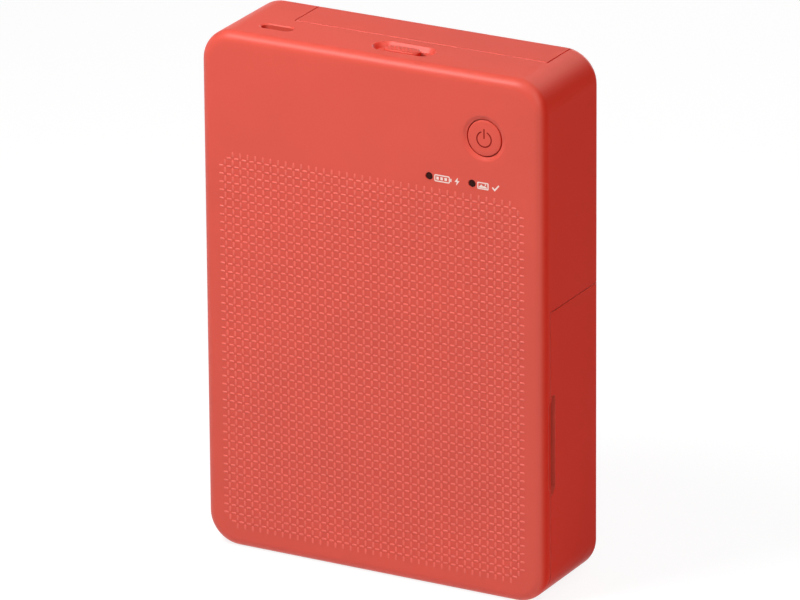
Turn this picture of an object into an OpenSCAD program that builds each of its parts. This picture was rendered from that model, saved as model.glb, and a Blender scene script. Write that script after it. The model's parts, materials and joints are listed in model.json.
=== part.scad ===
// Compact photo printer: a slim upright casing round a sheet-fed thermal print mechanism.
// Frame: millimetres, +X right, +Z up, front face towards -Y. The origin is under the middle
// of the casing, on the surface that it stands on. Inside this file depths are measured from
// the front face, and in_frame() moves every piece to the shared origin. A point of the side
// view is written [depth, height].

/* [Casing] */
// Width of the casing, side to side
case_w = 102.2; // [102:0.1:103]
// Height of the casing, end to end
case_h = 145.8; // [145.6:0.1:147]
// Depth of the casing without its feet
case_d = 32.4; // [32.4:0.1:33]
// Radius of the four upright corners, seen from the front
corner_r = 9; // [8.5:0.1:10]
// Radius of the front and rear edges
edge_r = 3; // [2.6:0.1:3.2]
// Thickness of the front wall
front_wall = 1.85; // [1.75:0.05:2]
// Thickness of the side walls, covers and rear panel
side_wall = 1.8; // [1.6:0.1:2]
// Gap along the seams between outer pieces
seam = 0.25; // [0.2:0.01:0.3]
// Height of the rubber feet on the back
foot_h = 0.5; // [0.4:0.1:1]

/* [Front] */
// Height of the relief pattern over the moulded face
relief_h = 0.15; // [0.1:0.01:0.2]
// Radius of the power button's cap
button_r = 5.05; // [4.5:0.05:5.2]
// Travel of the power button
button_travel = 0.4; // [0.2:0.1:0.4]
// Diameter of the two indicator lights
light_d = 2; // [1.5:0.1:2.4]

/* [Top end] */
// Length of the connector opening
port_l = 9.3; // [9.2:0.1:9.6]
// Length of the latch dish at the surface
dish_l = 18.1; // [17.5:0.1:19]
// Width of the latch dish at the surface
dish_w = 7.6; // [7.4:0.1:8.4]
// Travel of the latch
latch_travel = 3; // [2:0.1:3]

/* [Covers] */
// Left edge of the paper cover
cover_x0 = -31.4; // [-31.6:0.1:-31.4]
// Right edge of the paper cover
cover_x1 = 43.3; // [43.3:0.1:43.4]
// Height of the paper cover's hinge
cover_hinge_z = 48; // [47.6:0.1:48.4]
// Height of the ink door
door_top = 81.8; // [81:0.1:81.8]
// Depth at which the ink door begins
door_y0 = 4.3; // [4.2:0.1:4.6]
// Height of the middle of the finger notch
notch_z = 44.5; // [43:0.5:46]
// Height of the finger notch
notch_h = 27.7; // [20:0.1:28]

/* [Mechanism] */
// Radius of the platen's rubber
platen_r = 4; // [3.8:0.1:4]
// Radius of the capstan
capstan_r = 3; // [2.8:0.1:3]
// Radius of the feed tyres
tyre_r = 4.4; // [4:0.1:4.4]
// Module of all gears
gear_m = 0.5; // [0.5]
// Gap between gear flanks on the pitch circle
backlash = 0.16; // [0.14:0.02:0.24]

/* [Hidden] */
$fn = 48;

// Colours
coral = [0.88, 0.36, 0.31];
maroon = [0.22, 0.03, 0.03];
steel = [0.66, 0.67, 0.69];
alloy = [0.80, 0.80, 0.82];
black = [0.10, 0.10, 0.11];
grey = [0.32, 0.32, 0.34];
pale = [0.90, 0.89, 0.86];
board_green = [0.07, 0.30, 0.18];

// Casing, from the driving sizes
case_y = [relief_h, case_d];
front_in = relief_h + front_wall;
half_w = case_w / 2;
inner_w = half_w - side_wall;
inner_top = case_h - side_wall;
rear_skin = case_d - side_wall;
ledge_y = 29;
ledge_inset = 4.8;
recess_inset = 3.3;
fit_gap = 0.1;
past = 1;

// Controls on the front, [across, height]
button_at = [33.56, 128.4];
button_hole_r = button_r + 0.15;
button_dish_r = 6.3;
button_dish_d = 0.6;
cap_chamfer = 0.25;
switch_y = 5.45;
light_z = 115.55;
light_x = [17.44, 30.1];
light_flange_r = light_d / 2 + 0.6;

// Top end: depth of the row of controls and their places across
top_row_y = 9.75;
port_x = -32.9;
port_r = 1.75;
socket_z = [136.6, 143.9];
dish_x = 5.15;
dish_depth = 1.4;
dish_slope = 1;
knob_l = 10.3;
knob_w = 4;
knob_x = 4.75;
stem_l = 7;
stem_w = 2.4;
latch_bar_z = [140.2, 141.4];
hook_x = [-15, 22];
hook_z = [141.7, 143.1];

// Paper cover and its hinge
cover_y0 = 17.1;
hinge_r = 2.6;
cover_hinge = [case_d - hinge_r, cover_hinge_z];
cover_pin_r = 0.8;
knuckles = [[cover_x0 + 0.2, -24], [2, 10], [36, cover_x1 - 0.2]];
knuckle_gap = 0.4;
plate_hinge = [29.55, 141.2];

// Ink door: its hinge is the centre of the rear right edge, [across, depth]
door_hinge = [half_w - edge_r, case_d - edge_r];
door_x0 = 44.6;
door_pin_r = 0.8;
trim_r = edge_r + 0.3;
lug_z = [20, 22.6];
lug_r = 2.1;
leg_z = door_top + 6.5;

// Paper and its tray
tray_x = [-31.2, 43.2];
tray_wall = 1;
bed_y = [22.6, 23.8];
tray_z = [53, 139];
tray_rim_y = 29;
slot_y = [21, 24.5];
slot_x = [-31, 43];
tyre_x = [[-12, -4], [16, 24]];

// Axes of the mechanism in the side view, [depth, height]
platen_at = [26.2, 40];
capstan_at = [25.2, 12];
pinch_r = 2.7;
pinch_at = [capstan_at[0] - capstan_r - pinch_r - 0.3, 12];
feed_at = [19.6, 81];
takeup_at = [12.3, 22];
supply_at = [12.3, 62];
head_pivot = [12.6, 49];
rod_at = [[11, 80], [8, 8.5]];
shaft_r = 1.5;
run = 0.05;
bush_r = 2.6;

// Frame plates, from face to face across the printer
left_plate = [-32.8, -31.9];
right_plate = [43.4, 44.3];
frame_y = [3, 29];
frame_z = [4.5, 87.2];
tab_l = 7;

// Gears: tooth counts, then their two planes across the printer
capstan_n = 18;
low_n = 28;
small_n = 16;
large_n = 32;
motor_n = 10;
middle_n = 36;
high_n = 40;
feed_n = 24;
takeup_n = 20;
ribbon_n = 10;
plane_1 = [-35.9, -33.7];
plane_2 = [-38.5, -36.3];
motor_face = -39.9;
motor_back = -48.9;
bore_r = 1.05;
stud_r = 1;

function pitch_r(n) = gear_m * n / 2;
function reach(n1, n2) = pitch_r(n1) + pitch_r(n2);
function polar(r, a) = [r * cos(a), r * sin(a)];
function heading(p, q) = atan2(q[1] - p[1], q[0] - p[0]);
// Centre that lies at distance a from p and distance b from q, on the front side
function meet(p, q, a, b) =
    let (d = norm(q - p), u = (q - p) / d, s = (a * a - b * b + d * d) / (2 * d))
    p + u * s + [-u[1], u[0]] * sqrt(max(a * a - s * s, 0));
// Turn of gear j, n_j teeth, that puts its gap on a tooth of gear i along heading h
function mesh_turn(turn_i, n_i, n_j, h) =
    h + 180 - 360 / n_j * (0.5 - (h - turn_i) * n_i / 360);

low_at = capstan_at + polar(reach(capstan_n, low_n), 108.2);
reduction_at = low_at + polar(reach(low_n, small_n), 94.3);
middle_at = reduction_at + polar(reach(small_n, middle_n), 98.8);
high_at = meet(middle_at, feed_at, reach(middle_n, high_n), reach(high_n, feed_n));
motor_at = reduction_at + polar(reach(large_n, motor_n), 165);
ribbon_at = takeup_at + polar(reach(takeup_n, ribbon_n), -110);

capstan_turn = 0;
low_turn = mesh_turn(capstan_turn, capstan_n, low_n, heading(capstan_at, low_at));
small_turn = mesh_turn(low_turn, low_n, small_n, heading(low_at, reduction_at));
middle_turn = mesh_turn(small_turn, small_n, middle_n, heading(reduction_at, middle_at));
high_turn = mesh_turn(middle_turn, middle_n, high_n, heading(middle_at, high_at));
feed_turn = mesh_turn(high_turn, high_n, feed_n, heading(high_at, feed_at));
motor_turn = mesh_turn(small_turn, large_n, motor_n, heading(reduction_at, motor_at));
ribbon_turn = mesh_turn(0, takeup_n, ribbon_n, heading(takeup_at, ribbon_at));

// Cassette
tube_r = [7.3, 7.6];
tube_wall = 0.9;
tube_x = [-30.9, 44.6];
cap_x = [44.6, 47.4];
film_x = [-29.5, 41.5];
film_y = 21.6;
film_t = 0.12;

// Screws, [across, height]
left_screw_x = -45.6;
right_screw_x = 45.7;
case_screw_at = [[-43.2, 5.9], [left_screw_x, 96], [left_screw_x, 130],
    [right_screw_x, 96], [right_screw_x, 130], [6, 5.7]];
screw_r = 0.85;
screw_head_r = 1.7;
screw_tip_y = 25.8;
boss_r = 2.1;
frame_screw_at = [[-36.4, 8.6], [-36.4, 82.6], [40, 8.6], [40, 82.6]];

// ---- Drawing helpers -------------------------------------------------------------

module in_frame() translate([0, -(case_d + foot_h) / 2, 0]) children();

// Extrudes a (depth, height) outline across the printer
module along_x(x) translate([x[0], 0, 0]) rotate([90, 0, 90]) linear_extrude(x[1] - x[0])
    children();

// Extrudes an (across, height) outline from front to back
module along_y(y) translate([0, y[1], 0]) rotate([90, 0, 0]) linear_extrude(y[1] - y[0])
    children();

// Extrudes an (across, depth) outline upwards
module along_z(z) translate([0, 0, z[0]]) linear_extrude(z[1] - z[0]) children();

module block(x, y, z) translate([x[0], y[0], z[0]])
    cube([x[1] - x[0], y[1] - y[0], z[1] - z[0]]);

module rod_x(at, r, x) translate([x[0], at[0], at[1]]) rotate([0, 90, 0])
    cylinder(r = r, h = x[1] - x[0]);

module rod_y(at, r, y) translate([at[0], y[0], at[1]]) rotate([-90, 0, 0])
    cylinder(r = r, h = y[1] - y[0]);

module cone_y(at, r0, r1, y) translate([at[0], y[0], at[1]]) rotate([-90, 0, 0])
    cylinder(r1 = r0, r2 = r1, h = y[1] - y[0]);

module rod_z(at, r, z) translate([at[0], at[1], z[0]]) cylinder(r = r, h = z[1] - z[0]);

// Rectangle from one corner to the other with rounded corners
module rounded(a, b, r) {
    translate([a[0] + r, a[1]]) square([b[0] - a[0] - 2 * r, b[1] - a[1]]);
    translate([a[0], a[1] + r]) square([b[0] - a[0], b[1] - a[1] - 2 * r]);
    for (x = [a[0] + r, b[0] - r], y = [a[1] + r, b[1] - r]) translate([x, y]) circle(r);
}

// Slot outline with round ends, lying along the first axis
module pill(l, w) {
    square([l - w, w], center = true);
    for (s = [-1, 1]) translate([s * (l - w) / 2, 0]) circle(w / 2);
}

// Pill across the top end with walls that slope out from width w0 to width w1
module sloped_pill(l0, w0, w1, h) {
    run_l = l0 - w0;
    for (s = [-1, 1]) translate([s * run_l / 2, 0, 0])
        cylinder(r1 = w0 / 2, r2 = w1 / 2, h = h);
    translate([-run_l / 2, 0, 0]) rotate([90, 0, 90]) linear_extrude(run_l)
        polygon([[-w0 / 2, 0], [w0 / 2, 0], [w1 / 2, h], [-w1 / 2, h]]);
}

// Front outline of the casing, drawn in by an inset
module outline(inset) rounded([inset - half_w, inset], [half_w - inset, case_h - inset],
    corner_r - inset);

// Casing block: upright prism, two bands and four turned corners that meet on flat faces
module case_block(inset, y, f) {
    w = half_w - inset;
    r = corner_r - inset;
    along_z([inset + r, case_h - inset - r]) rounded([-w, y[0]], [w, y[1]], f);
    case_end(w, r, inset, y, f);
    translate([0, 0, case_h]) mirror([0, 0, 1]) case_end(w, r, inset, y, f);
}

module case_end(w, r, z, y, f) {
    along_x([r - w, w - r]) intersection() {
        rounded([y[0], z], [y[1], z + 3 * r], f);
        translate([y[0], z]) square([y[1] - y[0], r]);
    }
    for (s = [0, 1]) mirror([s, 0, 0]) translate([w - r, 0, z + r]) rotate([-90, 0, 0])
        rotate_extrude(angle = 90) intersection() {
            rounded([-r, y[0]], [r, y[1]], f);
            translate([0, y[0]]) square([r, y[1] - y[0]]);
        }
}

// Gear blank outline: involute flanks, five points to a tooth's side and tip
module gear_outline(n, turn) {
    r = pitch_r(n);
    base = r * cos(20);
    tip = r + 0.9 * gear_m;
    root = r - 1.2 * gear_m;
    half = 90 / n - backlash / 2 / r * 180 / PI / 2 + involute_angle(r, base);
    radii = [root, max(base, root + 0.1), r, tip];
    rotate(turn) polygon([for (k = [0 : n - 1]) each concat(
        [for (q = radii) polar(q, 360 / n * k - half + involute_angle(q, base))],
        [for (i = [3 : -1 : 0]) polar(radii[i], 360 / n * k + half
            - involute_angle(radii[i], base))])]);
}

function involute_angle(q, base) = q <= base ? 0
    : let (a = acos(base / q)) tan(a) * 180 / PI - a;

module gear(at, n, turn, x, bore) translate([x[0], at[0], at[1]]) rotate([90, 0, 90])
    linear_extrude(x[1] - x[0]) difference() {
        gear_outline(n, turn);
        circle(bore);
    }

// Round holes in a gear's web, to save weight
module web_holes(at, n, count, hole_r, x) for (k = [1 : count])
    rod_x(at + polar(pitch_r(n) * 0.6, 360 / count * k), hole_r, x);

// Coil along +Z from the origin: a six-sided wire swept round a helix
module coil(r, wire, l, turns) {
    per = 10;
    sides = 6;
    steps = per * turns;
    pts = [for (i = [0 : steps], j = [0 : sides - 1])
        let (a = 360 * i / per, z = wire + (l - 2 * wire) * i / steps,
            b = 360 * j / sides, q = r + wire * cos(b))
        [q * cos(a), q * sin(a), z + wire * sin(b)]];
    side = [for (i = [0 : steps - 1], j = [0 : sides - 1])
        let (a = i * sides + j, b = i * sides + (j + 1) % sides) each
        [[a, a + sides, b + sides], [a, b + sides, b]]];
    cap = [for (j = [1 : sides - 2]) each [[0, j, j + 1],
        [steps * sides, steps * sides + j + 1, steps * sides + j]]];
    polyhedron(pts, concat(side, cap));
}

// ---- Casing ----------------------------------------------------------------------

module front_shell() color(coral) in_frame() difference() {
    union() {
        difference() {
            case_block(0, case_y, edge_r);
            case_block(side_wall, [front_in, ledge_y], edge_r - side_wall);
            difference() {
                union() {
                    along_y([ledge_y - 2, case_d + past]) outline(ledge_inset);
                    along_y([rear_skin - fit_gap, case_d + past]) outline(recess_inset);
                }
                block([cover_x1 + seam, half_w], [ledge_y - 3, 40],
                    [door_top, leg_z - fit_gap]);
            }
        }
        shell_bosses();
        shell_leg();
    }
    shell_openings();
    door_region(seam);
    for (p = case_screw_at) rod_y(p, screw_r + run, [screw_tip_y - 0.3, case_d + past]);
    for (p = frame_screw_at) rod_y(p, screw_r + run, [front_in - 0.8, frame_y[0]]);
    rod_z(door_hinge, door_pin_r + run, [door_top - past, door_top + 5.1]);
}

// Posts for the screws, the latch's bed, the button's collar and the door's upper bearing
module shell_bosses() {
    for (p = case_screw_at) rod_y(p, boss_r,
        [in_paper_path(p) ? slot_y[1] + 0.8 : front_in - past / 2, ledge_y + 1.5]);
    for (p = case_screw_at) if (in_paper_path(p))
        block([p[0] - 0.6, p[0] + 0.6], [slot_y[1] + 0.8, ledge_y + 1], [past, p[1]]);
    for (p = frame_screw_at) rod_y(p, boss_r + 0.6, [front_in - past / 2, frame_y[0]]);
    translate([dish_x, top_row_y, inner_top - 1.4]) linear_extrude(1.4 + past / 2)
        pill(dish_l + 3.2, dish_w + 3.2);
    difference() {
        rod_y(button_at, 8, [front_in - past / 2, 4.2]);
        rod_y(button_at, 6.7, [front_in - past, 5]);
    }
    rod_z(door_hinge, edge_r - 0.1, [door_top, door_top + 6]);
}

// Screw posts over the slot in the lower end start behind it
function in_paper_path(p) = p[1] < 8 && p[0] > slot_x[0] - boss_r && p[0] < slot_x[1] + boss_r;

// Ledge of the rear panel's narrow right leg
module shell_leg() intersection() {
    case_block(0, case_y, edge_r);
    block([cover_x1 + seam, half_w], [ledge_y, rear_skin - fit_gap],
        [door_top, case_h - 2]);
}

module shell_openings() {
    // paper cover
    block([cover_x0 - seam, cover_x1 + seam], [cover_y0 - seam, case_d + past],
        [137, case_h + past]);
    block([cover_x0 - seam, cover_x1 + seam], [ledge_y - past, case_d + past], [4.8, 138]);
    // button, lights
    rod_y(button_at, button_hole_r, [-past, front_in + past]);
    cone_y(button_at, button_dish_r, button_hole_r, [relief_h, relief_h + button_dish_d]);
    for (x = light_x) rod_y([x, light_z], light_d / 2 + run, [-past, front_in + past]);
    // connector, with its chamfer
    translate([port_x, top_row_y, case_h - 4]) linear_extrude(5) pill(port_l, port_r * 2);
    translate([port_x, top_row_y, case_h - 0.4])
        sloped_pill(port_l, port_r * 2, port_r * 2 + 0.8, 0.4);
    // latch dish and the slot that its stem slides in
    translate([dish_x, top_row_y, case_h - dish_depth])
        sloped_pill(dish_l - 2 * dish_slope, dish_w - 2 * dish_slope, dish_w, dish_depth);
    translate([knob_x + latch_travel / 2, top_row_y, 140])
        linear_extrude(case_h - 140) pill(stem_l + latch_travel + 0.8, stem_w + 0.4);
    // paper slot in the lower end
    block(slot_x, slot_y, [-past, side_wall + past]);
    // finger scoop beside the door
    scoop_r = 6;
    for (z = [notch_z - notch_h / 2 + 3.2, notch_z + notch_h / 2 - 3.2])
        translate([half_w + scoop_r - 0.8, 5.6, z]) sphere(scoop_r);
    rod_z([half_w + scoop_r - 0.8, 5.6], scoop_r,
        [notch_z - notch_h / 2 + 3.2, notch_z + notch_h / 2 - 3.2]);
}

// Space of the ink door, drawn out by a gap, less the tongue that fills the finger notch
module door_region(gap) difference() {
    block([door_x0 - gap, half_w + past], [door_y0 - gap, case_d + past],
        [-past, door_top + gap]);
    along_x([inner_w - past, half_w + past]) notch_outline(5.6, 0.3);
}

// Side view of the finger notch, with its lower corner cut off
module notch_outline(back, gap) {
    low = notch_z - notch_h / 2 + gap;
    high = notch_z + notch_h / 2 - gap;
    polygon([[0, low], [back - 1.6, low], [back, low + 1.9], [back, high - 0.6],
        [back - 0.6, high], [0, high]]);
}

module rear_panel() color(coral) in_frame() difference() {
    union() {
        intersection() {
            along_y([rear_skin, case_d]) outline(recess_inset + fit_gap);
            union() {
                block([-half_w, door_x0 - seam], [0, 40], [0, cover_hinge_z - 3]);
                block([-half_w, cover_x0 - seam], [0, 40], [0, case_h]);
                block([cover_x1 + seam, half_w], [0, 40], [leg_z, case_h]);
            }
        }
        // rims beside the paper cover
        block([cover_x0 - seam - 0.9, cover_x0 - seam], [ledge_y + 0.3, case_d],
            [cover_hinge_z - 4, 140]);
        block([cover_x1 + seam, door_x0 - 0.2], [ledge_y + 0.3, case_d],
            [cover_hinge_z - 4, door_top - fit_gap]);
        // knuckles of the paper cover's hinge, each on a foot from the panel
        for (k = knuckles) {
            rod_x(cover_hinge, hinge_r, k);
            block(k, [rear_skin - 1, rear_skin + 0.6], [cover_hinge_z - 4, cover_hinge_z - 2]);
        }
        door_lug();
    }
    rod_x(cover_hinge, cover_pin_r + run, [cover_x0 - past, cover_x1 + past]);
    rod_z(door_hinge, door_pin_r + run, [lug_z[0] - past, lug_z[1] + past]);
    for (p = case_screw_at) {
        rod_y(p, screw_r + 0.2, [ledge_y, case_d + past]);
        cone_y(p, screw_r + 0.2, screw_head_r + fit_gap, [case_d - 1, case_d]);
    }
    for (p = rear_foot_at) rod_y(p, 3.6, [case_d - 0.5, case_d + past]);
}

// Bearing for the lower end of the door's pin, on an arm that passes inside the door
module door_lug() {
    rod_z(door_hinge, lug_r, lug_z);
    block([door_x0 - 2, door_hinge[0]], [door_hinge[1] - lug_r, door_hinge[1] - 0.7], lug_z);
    block([door_x0 - 2, door_x0 - seam], [door_hinge[1] - lug_r, rear_skin + 0.5],
        [lug_z[0] - 2, lug_z[1] + 2]);
}

module paper_cover() color(coral) in_frame() difference() {
    union() {
        difference() {
            intersection() {
                case_block(0, case_y, edge_r);
                block([cover_x0, cover_x1], [cover_y0, 40], [cover_hinge_z, 150]);
            }
            block([-60, 60], [0, rear_skin], [0, inner_top]);
            for (k = knuckles) rod_x(cover_hinge, hinge_r + 0.35,
                [k[0] - knuckle_gap, k[1] + knuckle_gap]);
            for (k = knuckles) block([k[0] - knuckle_gap, k[1] + knuckle_gap], [20, 40],
                [0, cover_hinge_z + 2]);
        }
        for (i = [0, 1]) rod_x(cover_hinge, hinge_r,
            [knuckles[i][1] + knuckle_gap, knuckles[i + 1][0] - knuckle_gap]);
        cover_hooks();
        cover_ribs();
        plate_lugs();
    }
    rod_x(cover_hinge, cover_pin_r + run, [cover_x0 - past, cover_x1 + past]);
    for (p = cover_foot_at) rod_y(p, 3.6, [case_d - 0.5, case_d + past]);
}

// Hooks that the latch holds, each an arm under the top wall with a nose at its side
module cover_hooks() for (x = hook_x) {
    block([x, x + 3], [13, cover_y0 + 3], hook_z);
    block([x, x + 5.4], [13, 14.6], hook_z);
    block([x, x + 3], [cover_y0 + 0.5, cover_y0 + 3], [hook_z[0], inner_top + 0.5]);
}

module cover_ribs() {
    for (x = [cover_x0 + 0.1, cover_x1 - 1.1])
        block([x, x + 1], [tray_rim_y + 0.5, rear_skin + 0.5], [54, 139]);
    for (x = [-20, 5.5, 31])
        block([x, x + 0.9], [18, rear_skin + 0.5], [inner_top - 0.9, inner_top + 0.5]);
}

// Bearings of the pressure plate, inside the cover's upper corner
module plate_lugs() for (x = [[-31, -29.4], [41.3, 42.9]]) difference() {
    union() {
        rod_x(plate_hinge, 1.3, x);
        block(x, [plate_hinge[0], rear_skin + 0.5], [plate_hinge[1] - 1.3, plate_hinge[1] + 1.3]);
    }
    rod_x(plate_hinge, 0.65, [x[0] - past, x[1] + past]);
}

module ink_door() color(coral) in_frame() difference() {
    union() {
        difference() {
            intersection() {
                case_block(0, case_y, edge_r);
                union() {
                    block([door_x0, half_w], [door_y0, door_hinge[1]], [0, door_top]);
                    rod_z(door_hinge, trim_r, [0, door_top]);
                }
            }
            case_block(side_wall, [-5, case_d], edge_r - side_wall);
        }
        rod_z(door_hinge, edge_r, [corner_r, door_top]);
        for (z = [20, 64]) block([47.9, inner_w + 0.3], [door_y0 + 0.1, 9], [z, z + 5]);
    }
    along_x([40, 60]) notch_outline(6.85, 0);
    rod_z(door_hinge, door_pin_r + run, [6, door_top + past]);
    // room for the fixed bearing, behind an unbroken outer edge
    rod_z(door_hinge, lug_r + 0.3, [lug_z[0] - 0.4, lug_z[1] + 0.4]);
    block([40, door_hinge[0]], [20, 40], [lug_z[0] - 0.4, lug_z[1] + 0.4]);
    block([40, door_hinge[0] + lug_r], [20, door_hinge[1]], [lug_z[0] - 0.4, lug_z[1] + 0.4]);
}

module door_pin() color(steel) in_frame()
    rod_z(door_hinge, door_pin_r, [6.5, door_top + 5]);

module cover_pins() color(steel) in_frame()
    rod_x(cover_hinge, cover_pin_r, [cover_x0 + 0.3, cover_x1 - 0.3]);

rear_foot_at = [[-38, 12], [37, 18]];
cover_foot_at = [[-24, 130], [36, 130]];

module foot(p) rod_y(p, 3.5, [case_d - 0.45, case_d + foot_h]);

module rear_feet() color(black) in_frame() for (p = rear_foot_at) foot(p);

module cover_feet() color(black) in_frame() for (p = cover_foot_at) foot(p);

module case_screws() color(steel) in_frame() for (p = case_screw_at) {
    rod_y(p, screw_r, [screw_tip_y, case_d - 0.95]);
    difference() {
        cone_y(p, screw_r, screw_head_r, [case_d - 1, case_d - 0.05]);
        for (a = [0, 90]) translate([p[0], case_d, p[1]]) rotate([0, a, 0])
            cube([2, 1, 0.4], center = true);
    }
}

// ---- Controls --------------------------------------------------------------------

module power_button() color(coral) in_frame() {
    // the cap's face stands as high as the relief
    cone_y(button_at, button_r - cap_chamfer, button_r, [0, cap_chamfer]);
    rod_y(button_at, button_r, [cap_chamfer, front_in + 0.4]);
    rod_y(button_at, 6.2, [front_in + 0.3, front_in + 1.1]);
    rod_y(button_at, 1.2, [front_in + 1.1, switch_y - button_travel - fit_gap]);
}

module light(x) {
    rod_y([x, light_z], light_d / 2, [relief_h + 0.08, front_in + 0.2]);
    rod_y([x, light_z], light_flange_r, [front_in + 0.02, front_in + 0.9]);
    rod_y([x, light_z], 0.9, [front_in + 0.9, 5.4]);
}

module charge_light() color(maroon) in_frame() light(light_x[0]);

module status_light() color(maroon) in_frame() light(light_x[1]);

module latch_knob() color(coral) in_frame() translate([knob_x, top_row_y, 0]) {
    translate([0, 0, case_h - dish_depth + 0.1]) linear_extrude(1.05) pill(knob_l, knob_w);
    translate([0, 0, latch_bar_z[1]]) linear_extrude(case_h - dish_depth + 0.2 - latch_bar_z[1])
        pill(stem_l, stem_w);
}

module latch_bar() color(grey) in_frame() {
    block([-12, 30], [8.6, 12.4], latch_bar_z);
    for (x = hook_x) {
        block([x + 5.7, x + 8.7], [8.6, 16.2], latch_bar_z);
        block([x + 5.7, x + 8.7], [14.9, 16.2], [latch_bar_z[1] - 0.1, hook_z[1]]);
    }
    block([-13.2, -12], [8.6, 12.4], [138.6, latch_bar_z[1]]);
}

module latch_spring() color(steel) in_frame() translate([-12, 10.5, 139.2 - 0.4])
    rotate([0, 90, 0]) coil(1.1, 0.22, 11.5, 8);

module usb_shell() color(steel) in_frame() translate([port_x, top_row_y - 0.05, 0])
    difference() {
        translate([0, 0, socket_z[0]]) linear_extrude(socket_z[1] - socket_z[0])
            pill(8.94, 3.26);
        translate([0, 0, socket_z[0] + 0.8]) linear_extrude(socket_z[1] - socket_z[0])
            pill(8.34, 2.66);
    }

module usb_tongue() color(black) in_frame() translate([port_x, top_row_y - 0.05, 0])
    block([-3.35, 3.35], [-0.35, 0.35], [socket_z[0] + 0.8, socket_z[1] - 0.7]);

module main_board() color(board_green) in_frame() difference() {
    block([-42, 42], [6.8, 8], [88.4, 139.8]);
    for (x = [-39, 39]) rod_y([x, 91.6], 1.4, [6, 9]);
}

module chip(x, z, w, h, t) block([x, x + w], [8, 8 + t], [z, z + h]);

module board_chips() color(black) in_frame() {
    chip(-18, 112, 12, 12, 1.1);
    chip(2, 116, 9, 6, 1);
    chip(16, 108, 7, 7, 1);
    chip(-36, 108, 8, 5, 1.2);
    for (i = [0 : 3]) chip(-16 + 5 * i, 103, 2.2, 1.4, 0.9);
    for (x = light_x) block([x - 0.8, x + 0.8], [5.9, 6.8], [light_z - 0.8, light_z + 0.8]);
}

module button_switch() color(steel) in_frame() {
    block([button_at[0] - 3, button_at[0] + 3], [5.9, 6.8],
        [button_at[1] - 3, button_at[1] + 3]);
    rod_y(button_at, 1.5, [switch_y, 5.9]);
}

module battery() color(grey) in_frame()
    along_z([90, 134]) rounded([-24, 11], [40, 20.5], 3);

// ---- Frame -----------------------------------------------------------------------

// Side view of both frame plates, with the holes of the bushes that both carry
module plate_outline() difference() {
    rounded([frame_y[0], frame_z[0]], [frame_y[1], frame_z[1]], 1.5);
    for (p = [platen_at, capstan_at, pinch_at, feed_at]) translate(p) circle(bush_r);
    for (p = rod_at) translate(p) circle(shaft_r);
}

module frame_tab(x, z) block(x, [frame_y[0], frame_y[0] + 0.9], [z - 4, z + 4]);

module left_frame() color(steel) in_frame() {
    difference() {
        union() {
            along_x(left_plate) plate_outline();
            for (i = [0, 1]) frame_tab([left_plate[0] - tab_l, left_plate[1]],
                frame_screw_at[i][1]);
        }
        for (p = [takeup_at, supply_at]) rod_x(p, bush_r, [-34, -30]);
        for (i = [0, 1]) rod_y(frame_screw_at[i], screw_r + run, [0, 5]);
    }
    for (p = [low_at, middle_at, high_at]) rod_x(p, stud_r, [plane_1[0] - 0.6, left_plate[0]]);
    rod_x(reduction_at, stud_r, [plane_2[0] - 0.3, left_plate[0]]);
}

module right_frame() color(steel) in_frame() difference() {
    union() {
        along_x(right_plate) plate_outline();
        for (i = [2, 3]) frame_tab([right_plate[1] - tab_l, right_plate[1]],
            frame_screw_at[i][1]);
    }
    // room for the door's lower bearing, and the mouth for the cassette
    block([43, 45], [26.9, 30], [lug_z[0] - 2.5, lug_z[1] + 2.5]);
    for (i = [0, 1]) rod_x([takeup_at, supply_at][i], tube_r[i] + 0.7, [43, 45]);
    block([43, 45], [0, 22], [takeup_at[1] - 2, supply_at[1] + 2]);
    block([43, 45], [0, takeup_at[0]], [takeup_at[1] - tube_r[0] - 0.7,
        supply_at[1] + tube_r[1] + 0.7]);
    for (i = [2, 3]) rod_y(frame_screw_at[i], screw_r + run, [0, 5]);
}

module tie_rods() color(steel) in_frame() for (p = rod_at)
    rod_x(p, shaft_r, [left_plate[0] - 0.4, right_plate[1] + 0.4]);

module motor_plate() color(steel) in_frame() {
    difference() {
        along_x([motor_face, motor_face + 0.8]) rounded([4.3, 8], [28, 45], 1.5);
        for (p = [motor_at, ribbon_at]) rod_x(p, 2.6, [-41, -38]);
    }
    for (p = [[5.8, 27.6], [5.8, 43.2], [15.6, 9.4]])
        rod_x(p, 1.3, [motor_face + 0.8, left_plate[0]]);
}

module frame_screws() color(steel) in_frame() for (p = frame_screw_at) {
    rod_y(p, screw_r, [front_in - 0.7, frame_y[0] + 0.9]);
    difference() {
        rod_y(p, screw_head_r, [frame_y[0] + 0.9, frame_y[0] + 1.9]);
        for (a = [0, 90]) translate([p[0], frame_y[0] + 1.9, p[1]]) rotate([0, a, 0])
            cube([2.2, 0.8, 0.45], center = true);
    }
}

module bush(p, x, s) difference() {
    union() {
        rod_x(p, bush_r - 0.02, x);
        rod_x(p, bush_r + 0.5, s);
    }
    rod_x(p, shaft_r + run, [x[0] - past, x[1] + past]);
}

module bushes() color(pale) in_frame() {
    for (p = [platen_at, capstan_at, pinch_at, feed_at]) {
        bush(p, left_plate, [left_plate[1], left_plate[1] + 0.4]);
        bush(p, right_plate, [right_plate[0] - 0.15, right_plate[0]]);
    }
    bush(takeup_at, left_plate, [left_plate[0] - 0.4, left_plate[0]]);
    bush(supply_at, left_plate, [left_plate[0] - 0.4, left_plate[0]]);
}

// ---- Print head ------------------------------------------------------------------

head_x = [-29.8, 41.8];

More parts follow.
